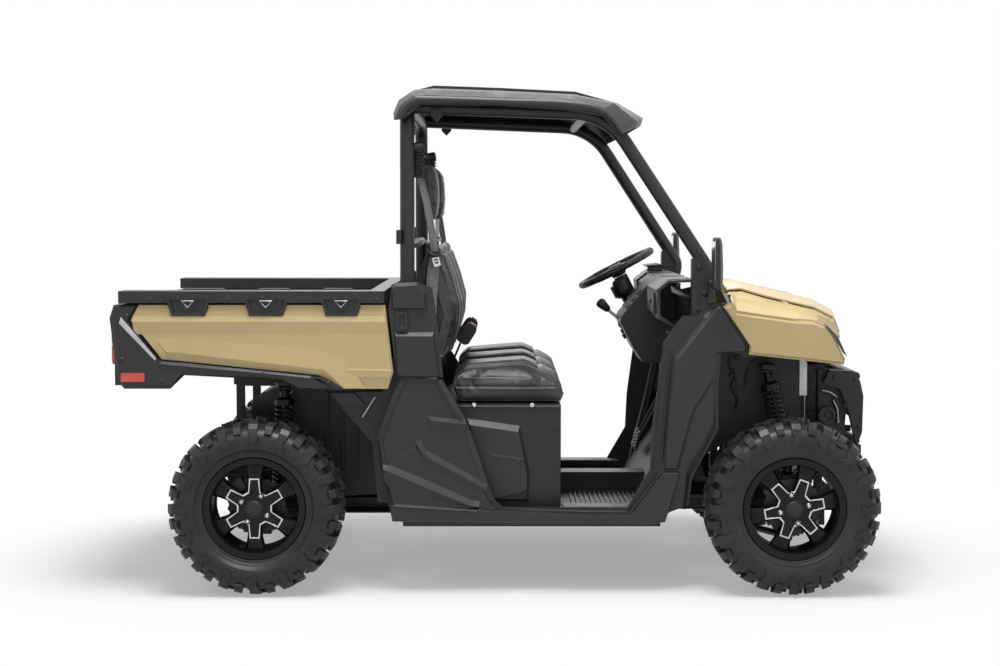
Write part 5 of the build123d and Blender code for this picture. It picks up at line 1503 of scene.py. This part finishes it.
def build_side_reliefs():
    """Ridges, bevels and lips of the body sides."""
    bm = bmesh.new()
    add_ridge(bm, [(-0.451, 0.4971), (-0.4179, 0.4945), (-0.2649, 0.4303), (-0.1075, 0.3609),
                   (-0.0759, 0.355)],
              [(-0.4466, 0.4787), (-0.416, 0.4671), (-0.2688, 0.402), (-0.1107, 0.3368), (-0.0805, 0.3352)],
              [(-0.4457, 0.4341), (-0.4127, 0.3923), (-0.2651, 0.3631), (-0.1108, 0.3296), (-0.088, 0.329)],
              (0.7095, 0.7255, 0.715))
    add_ridge(bm, [(-0.3251, 0.5955), (-0.3019, 0.5921), (-0.2797, 0.5521), (-0.1655, 0.487),
                   (-0.0453, 0.4202)],
              [(-0.3199, 0.5747), (-0.2993, 0.5414), (-0.2795, 0.5264), (-0.1736, 0.4663), (-0.0494, 0.3995)],
              [(-0.3178, 0.5669), (-0.2981, 0.521), (-0.2857, 0.4917), (-0.1822, 0.4332), (-0.066, 0.3813)],
              (0.7035, 0.7175, 0.709))
    add_ridge(bm, [(-0.2796, 0.6831), (-0.2108, 0.6764), (-0.1338, 0.6681)],
              [(-0.2627, 0.664), (-0.2106, 0.659), (-0.1271, 0.649)],
              [(-0.2691, 0.6161), (-0.211, 0.6078), (-0.1157, 0.5953)], (0.703, 0.712, 0.703))
    add_ridge(bm, QUARTER_REAR, shifted(QUARTER_REAR, 0.013, -0.003), shifted(QUARTER_REAR, 0.024, -0.006),
              (0.6985, 0.7085, 0.703))
    add_ridge(bm, QUARTER_FRONT, shifted(QUARTER_FRONT, -0.014, -0.008),
              shifted(QUARTER_FRONT, -0.026, -0.014), (0.6985, 0.7085, 0.703))
    add_pillow(bm, [
        (-0.42, 0.3463, 0.0065), (-0.0825, 0.3275, 0.004), (-0.0328, 0.3187, 0.004), (0.0103, 0.3229, 0.004),
        (0.2822, 0.3112, 0.004), (0.4993, 0.3078, 0.005), (0.6169, 0.4673, 0.004), (0.6872, 0.4673, 0.004),
        (0.6606, 0.3563, 0.006), (0.6347, 0.2715, 0.006), (0.5684, 0.264, 0.006), (-0.4142, 0.274, 0.004),
    ], 0.701, 0.7235)
    add_ridge(bm, [(-0.418, 0.35), (-0.0825, 0.331)], [(-0.395, 0.336), (-0.086, 0.318)],
              [(-0.395, 0.332), (-0.086, 0.314)], (0.709, 0.73, 0.7235))
    add_pillow(bm, [
        (-0.1294, 0.6659, 0.024), (0.0774, 0.6356, 0.012), (0.0858, 0.607, 0.012), (0.1162, 0.4465, 0.012),
        (0.1138, 0.38, 0.006), (0.0004, 0.35, 0.006), (-0.06, 0.35, 0.006),
    ], 0.6165, 0.64)
    add_ridge(bm, [(-0.0331, 0.53), (0.09, 0.513)], [(-0.0331, 0.521), (0.09, 0.504)],
              [(-0.0331, 0.49), (0.09, 0.473)], (0.6395, 0.643, 0.6395))
    add_pillow(bm, [(-0.156, 0.712, 0.003), (0.233, 0.712, 0.003), (0.233, 0.703, 0.003),
                    (-0.156, 0.703, 0.003)], 0.6165, 0.6215)
    add_pillow(bm, [
        (0.6644, 0.8933, 0.012), (0.672, 0.912, 0.014), (0.8166, 1.0978, 0.007), (0.8334, 1.1, 0.006),
        (0.85, 1.09, 0.006), (0.94, 0.9494, 0.006), (0.938, 0.926, 0.005), (0.832, 0.923, 0.01),
        (0.822, 0.8146, 0.016), (0.7581, 0.7133, 0.02), (0.7361, 0.6457, 0.02), (0.7143, 0.5666, 0.018),
        (0.69, 0.4745, 0.006), (0.625, 0.4745, 0.008), (0.643, 0.7365, 0.01),
    ], 0.699, 0.7095)
    add_piece("side_reliefs", bm, "plastic", bevel=0.0016, angle=12, mirror=True)
    bm = bmesh.new()
    lip = [(-0.0452, 0.4197), (-0.0204, 0.3553), (0.0103, 0.33), (0.1414, 0.324), (0.2824, 0.317),
           (0.4981, 0.314), (0.6174, 0.4706)]
    add_tube(bm, [(x, -0.7215, z) for x, z in lip], 0.0026, sides=8)
    for line in ([(0.69, 1.056), (0.624, 0.964), (0.6165, 0.88), (0.589, 0.476)],
                 [(0.693, 0.47), (0.62, 0.47)]):
        add_tube(bm, [(x, -0.702, z) for x, z in line], 0.0022, sides=8)
    add_piece("side_lips", bm, "plastic", smooth=60, mirror=True)
    bm = bmesh.new()
    gap = [(0.77, 1.069), (0.648, 0.936), (0.633, 0.76), (0.612, 0.476)]
    across = shifted(gap, 0.009, -0.002)
    add_ridge(bm, gap, [(a + 0.0045, b) for a, b in gap], across, (0.7, 0.703, 0.7))
    add_pillow(bm, [(0.206, 0.633, 0.002), (0.224, 0.635, 0.002), (0.224, 0.348, 0.002),
                    (0.206, 0.345, 0.002)], 0.6165, 0.6195)
    add_piece("side_gaps", bm, "rubber", mirror=True)


def build_bed_reliefs():
    """The folds pressed into the coloured bed panels and their dark lower trim."""
    bm = bmesh.new()
    add_ridge(bm, [(-1.392, 1.066), (-0.44, 1.066)], [(-1.398, 1.044), (-0.434, 1.044)],
              [(-1.392, 0.995), (-0.43, 0.995)], (BED_FACE - 0.001, BED_FACE + 0.0055, BED_FACE - 0.0004))
    add_ridge(bm, [(-1.315, 0.985), (-1.2209, 0.985), (-0.7331, 0.95), (-0.6, 0.91), (-0.51, 0.79)],
              [(-1.27, 0.9286), (-1.2209, 0.9263), (-0.7331, 0.8684), (-0.6691, 0.8604), (-0.5895, 0.788)],
              [(-1.278, 0.908), (-1.2209, 0.9), (-0.7331, 0.848), (-0.6853, 0.84), (-0.605, 0.788)],
              (BED_FACE - 0.0004, BED_FACE + 0.0055, BED_FACE - 0.008))
    add_ridge(bm, [(-0.656, 0.868), (-0.414, 0.862)], [(-0.656, 0.8604), (-0.413, 0.856)],
              [(-0.64, 0.83), (-0.417, 0.83)], (BED_FACE - 0.0002, BED_FACE + 0.002, BED_FACE - 0.0004))
    add_piece("bed_folds", bm, "tan", "bed", bevel=0.0015, angle=12, mirror=True)
    bm = bmesh.new()
    add_prism(bm, [(-0.77, 0.84), (-0.69, 0.856), (-0.57, 0.81), (-0.57, 0.785), (-0.77, 0.785)], 0.692,
              0.696)
    add_prism(bm, [(-0.71, 0.825), (-0.6853, 0.834), (-0.5895, 0.785), (-0.62, 0.785)], 0.696, 0.718)
    add_piece("bed_trim_corners", bm, "plastic", "bed", bevel=0.001, mirror=True)
    bm = bmesh.new()
    add_ridge(bm, [(-1.29, 0.893), (-1.205, 0.887), (-0.8933, 0.856), (-0.715, 0.837)],
              [(-1.296, 0.883), (-1.2216, 0.876), (-0.8935, 0.846), (-0.725, 0.829)],
              [(-1.298, 0.86), (-1.2216, 0.856), (-0.8935, 0.829), (-0.745, 0.813)],
              (BED_FACE - 0.001, BED_FACE + 0.0075, BED_FACE + 0.0015))
    add_piece("bed_trim_bevels", bm, "plastic", "bed", bevel=0.0012, angle=12, mirror=True)


def build_liners():
    """Dark splash panels inside the wheel arches and behind the bumper, dark sheets behind gaps that paint
    the shade seen through them, and what hangs on them.
    """
    bm = bmesh.new()
    add_prism(bm, [(0.8, 0.905), (1.205, 0.905), (1.205, 0.6), (0.96, 0.56), (0.8, 0.47)], -0.34, -0.335)
    add_prism(bm, [(1.286, 0.828), (1.385, 0.828), (1.4, 0.64), (1.392, 0.52), (1.33, 0.52), (1.286, 0.6)],
              -0.3, -0.295)
    strip = [(0.838, 1.112), (0.874, 1.112), (0.984, 0.95), (0.98, 0.905), (0.925, 0.905), (0.925, 0.945)]
    add_prism(bm, strip, -0.678, -0.673)
    add_prism(bm, [(0.9, 1.128), (0.95, 1.136), (1.044, 1.108), (1.232, 1.062), (1.285, 1.03), (1.285, 1.022),
                   (1.232, 1.054), (1.044, 1.1), (0.95, 1.128), (0.9, 1.12)], -0.53, -0.472)
    add_prism(bm, [(0.9, 1.142), (0.95, 1.147), (1.044, 1.121), (1.232, 1.077), (1.285, 1.048),
                   (1.285, 1.022), (1.232, 1.054), (1.044, 1.1), (0.95, 1.128), (0.9, 1.12)], -0.485, -0.48)
    add_prism(bm, [(-0.452, 0.9), (-0.385, 0.9), (-0.385, 0.7), (-0.452, 0.7)], -0.646, -0.64)
    add_prism(bm, [(-0.69, 1.06), (-0.503, 1.06), (-0.503, 1.142), (-0.69, 1.104)], 0.872, 0.89, front_place)
    add_prism(bm, [(-0.835, 0.772), (-0.372, 0.772), (-0.372, 0.33), (-0.74, 0.31), (-0.74, 0.5),
                   (-0.835, 0.6)], -0.338, -0.333)
    add_prism(bm, [(-0.6553, 0.7697), (-0.6069, 0.7002), (-0.4936, 0.5691), (-0.4743, 0.3389),
                   (-0.43, 0.3389), (-0.43, 0.7697)], -0.64, -0.634)
    for k, x in enumerate((-0.7, -0.64, -0.58)):
        add_prism(bm, [(x, 0.74 - 0.04 * k), (x + 0.012, 0.74 - 0.04 * k), (x + 0.012, 0.4), (x, 0.4)], -0.35,
                  -0.336)
    # Besides the arch and bumper liners, some of these dark sheets only close gaps: painted shade.
    add_piece("splash_panels_and_shade_sheets", bm, "plastic_deep", bevel=0.0015, mirror=True)
    bm = bmesh.new()
    add_prism(bm, [(-0.6572, 0.7677), (-0.5634, 0.7677), (-0.5147, 0.7144), (-0.6102, 0.7144)], -0.652,
              -0.641)
    add_piece("arch_shields", bm, "plastic", bevel=0.002, mirror=True)
    bm = bmesh.new()
    add_tube(bm, [(-0.5302, -0.648, 0.6705), (-0.4805, -0.648, 0.7497)], 0.005, sides=12)
    add_tube(bm, curve_points([(1.3, -0.312, 0.742), (1.33, -0.314, 0.735), (1.36, -0.312, 0.715)], 5),
             0.0075, 12)
    add_tube(bm, curve_points([(1.345, -0.312, 0.7), (1.362, -0.314, 0.665), (1.366, -0.312, 0.61)], 5),
             0.006, 12)
    add_piece("arch_rods", bm, "steel", slot="aluminium", smooth=50, mirror=True)
    bm = bmesh.new()
    add_turned(bm, (1.32, -0.3, 0.642), (1.32, -0.33, 0.642), [
        (0, 0.02), (0.3, 0.034), (0.7, 0.036), (0.9, 0.034), (0.92, 0.024), (0.75, 0.022), (0.7, 0.01),
        (0.95, 0.009),
    ], sides=32)
    add_piece("side_horns", bm, "cast", smooth=40, mirror=True)
    bm = bmesh.new()
    path_points = [(0.93, -0.346, 0.89), (0.92, -0.35, 0.85), (0.945, -0.35, 0.8), (0.93, -0.35, 0.76),
                   (0.955, -0.35, 0.715), (0.95, -0.348, 0.67)]
    add_tube(bm, curve_points(path_points, 6), 0.0055, 10)
    add_tube(bm, curve_points([(1.03, -0.348, 0.88), (1.0, -0.352, 0.84), (0.985, -0.35, 0.76)], 6), 0.0045,
             10)
    for x, z in [(0.95, 0.88), (0.931, 0.806), (0.944, 0.744)]:
        add_head(bm, x, z, -0.341, -0.356, 0.01, 6, 0.6)
    add_piece("arch_hoses", bm, "rubber", smooth=50, mirror=True)
    bm = bmesh.new()
    add_prism(bm, [(1.2322, 1.0411), (1.262, 1.013), (1.292, 0.978), (1.324, 0.909), (1.306, 0.926),
                   (1.272, 0.99), (1.245, 1.02)], -0.706, -0.699)
    add_piece("lamp_slits", bm, "glass_dark", bevel=0.0008, mirror=True)


# ---- stage, light and camera -----------------------------------------------------------
CAMERA_PLACE = (0.0, -7.5, 1.46006)
CAMERA_PITCH = 3.8718         # degrees down
CAMERA_LENS = 64.3626         # millimetres
CAMERA_SENSOR = 36            # millimetres
LAMP_AIM = (0, 0, 0.8)
FLOOR_SIZE = 40               # metres from the middle to an edge
FLOOR_LEVEL = 0.66
SHADOW_REACH = (2.5, 1.7)     # metres along and across, beyond which the floor is plain white
WORLD_LEVEL = 0.3


def join_math(tree, operation, first, second):
    """The output of a math node fed by two others."""
    node = add_node(tree, "Math")
    node.operation = operation
    tree.links.new(first, node.inputs[0])
    tree.links.new(second, node.inputs[1])
    return node.outputs["Value"]


def sight_ray(tree):
    """1 for camera, glossy and transmission rays, which see the white background."""
    path = add_node(tree, "LightPath").outputs
    seen = join_math(tree, "MAXIMUM", path["Is Camera Ray"], path["Is Glossy Ray"])
    return join_math(tree, "MAXIMUM", seen, path["Is Transmission Ray"])


def build_stage():
    """A pale floor that keeps the shadow near the vehicle and runs into the white backdrop."""
    bm = bmesh.new()
    bmesh.ops.create_grid(bm, x_segments=1, y_segments=1, size=FLOOR_SIZE)
    floor_piece = new_object("studio_floor", bm)
    s = Shader("floor_white")
    s.set(Base_Color=shade(FLOOR_LEVEL), Roughness=0.9, Specular_IOR_Level=0.0)
    glow = add_node(s.tree, "Emission", Color=shade(1.0), Strength=1.0)
    place = s.node("Mapping", s.coords, Scale=(1 / SHADOW_REACH[0], 1 / SHADOW_REACH[1], 1.0))
    distance = s.node("VectorMath", place.outputs["Vector"])
    distance.operation = "LENGTH"
    fade = s.node("MapRange", distance.outputs["Value"], "Value", From_Min=0.62, From_Max=1.0, To_Min=0.36)
    fade.interpolation_type = "SMOOTHSTEP"
    share = join_math(s.tree, "MULTIPLY", fade.outputs["Result"], sight_ray(s.tree))
    mix = s.node("MixShader", share, "Fac")
    s.link(s.bsdf.outputs["BSDF"], mix.inputs[1])
    s.link(glow.outputs["Emission"], mix.inputs[2])
    s.link(mix.outputs["Shader"], s.tree.nodes["Material Output"].inputs["Surface"])
    floor_piece.data.materials.append(s.material)


def build_world():
    """A white backdrop for the camera and reflections, and a softer level for light."""
    world = bpy.data.worlds.new("studio")
    bpy.context.scene.world = world
    world.use_nodes = True
    tree = world.node_tree
    background = tree.nodes["Background"]
    background.inputs["Color"].default_value = shade(1.0)
    level = add_node(tree, "MapRange", To_Min=WORLD_LEVEL, To_Max=1.0)
    tree.links.new(sight_ray(tree), level.inputs["Value"])
    tree.links.new(level.outputs["Result"], background.inputs["Strength"])


LAMPS = [                     # name, place, size, watts
    ("key", (-3.2, -4.2, 5.4), 3.0, 62),
    ("fill", (4.4, -5.0, 3.0), 4.0, 26),
    ("top", (0.0, -1.35, 5.6), 3.0, 380),
    ("back", (0.0, 5.5, 4.0), 4.0, 80),
]


def build_lamps():
    for name, place, size, watts in LAMPS:
        data = bpy.data.lights.new(name, "AREA")
        data.shape = "DISK"
        data.size = size
        data.energy = watts
        lamp = bpy.data.objects.new(name, data)
        lamp.location = place
        aim = Vector(LAMP_AIM) - Vector(place)
        lamp.rotation_euler = aim.to_track_quat("-Z", "Y").to_euler()
        bpy.context.scene.collection.objects.link(lamp)


def build_camera():
    data = bpy.data.cameras.new("camera")
    data.lens = CAMERA_LENS
    data.sensor_width = CAMERA_SENSOR
    camera = bpy.data.objects.new("camera", data)
    camera.location = CAMERA_PLACE
    camera.rotation_euler = (math.radians(90 - CAMERA_PITCH), 0, 0)
    bpy.context.scene.collection.objects.link(camera)
    bpy.context.scene.camera = camera
    bpy.context.scene.view_settings.view_transform = "Standard"


def main():
    build_stage()
    build_world()
    build_lamps()
    build_camera()
    dress_nodes()
    build_wheels()
    build_seats()
    build_belts()
    build_shocks()
    build_steering_wheel()
    build_column()
    build_dash()
    build_cab_details()
    build_bed_details()
    build_nose()
    build_driveline()
    build_panel_details()
    build_mirrors()
    build_roof_details()
    build_side_reliefs()
    build_bed_reliefs()
    build_liners()


main()
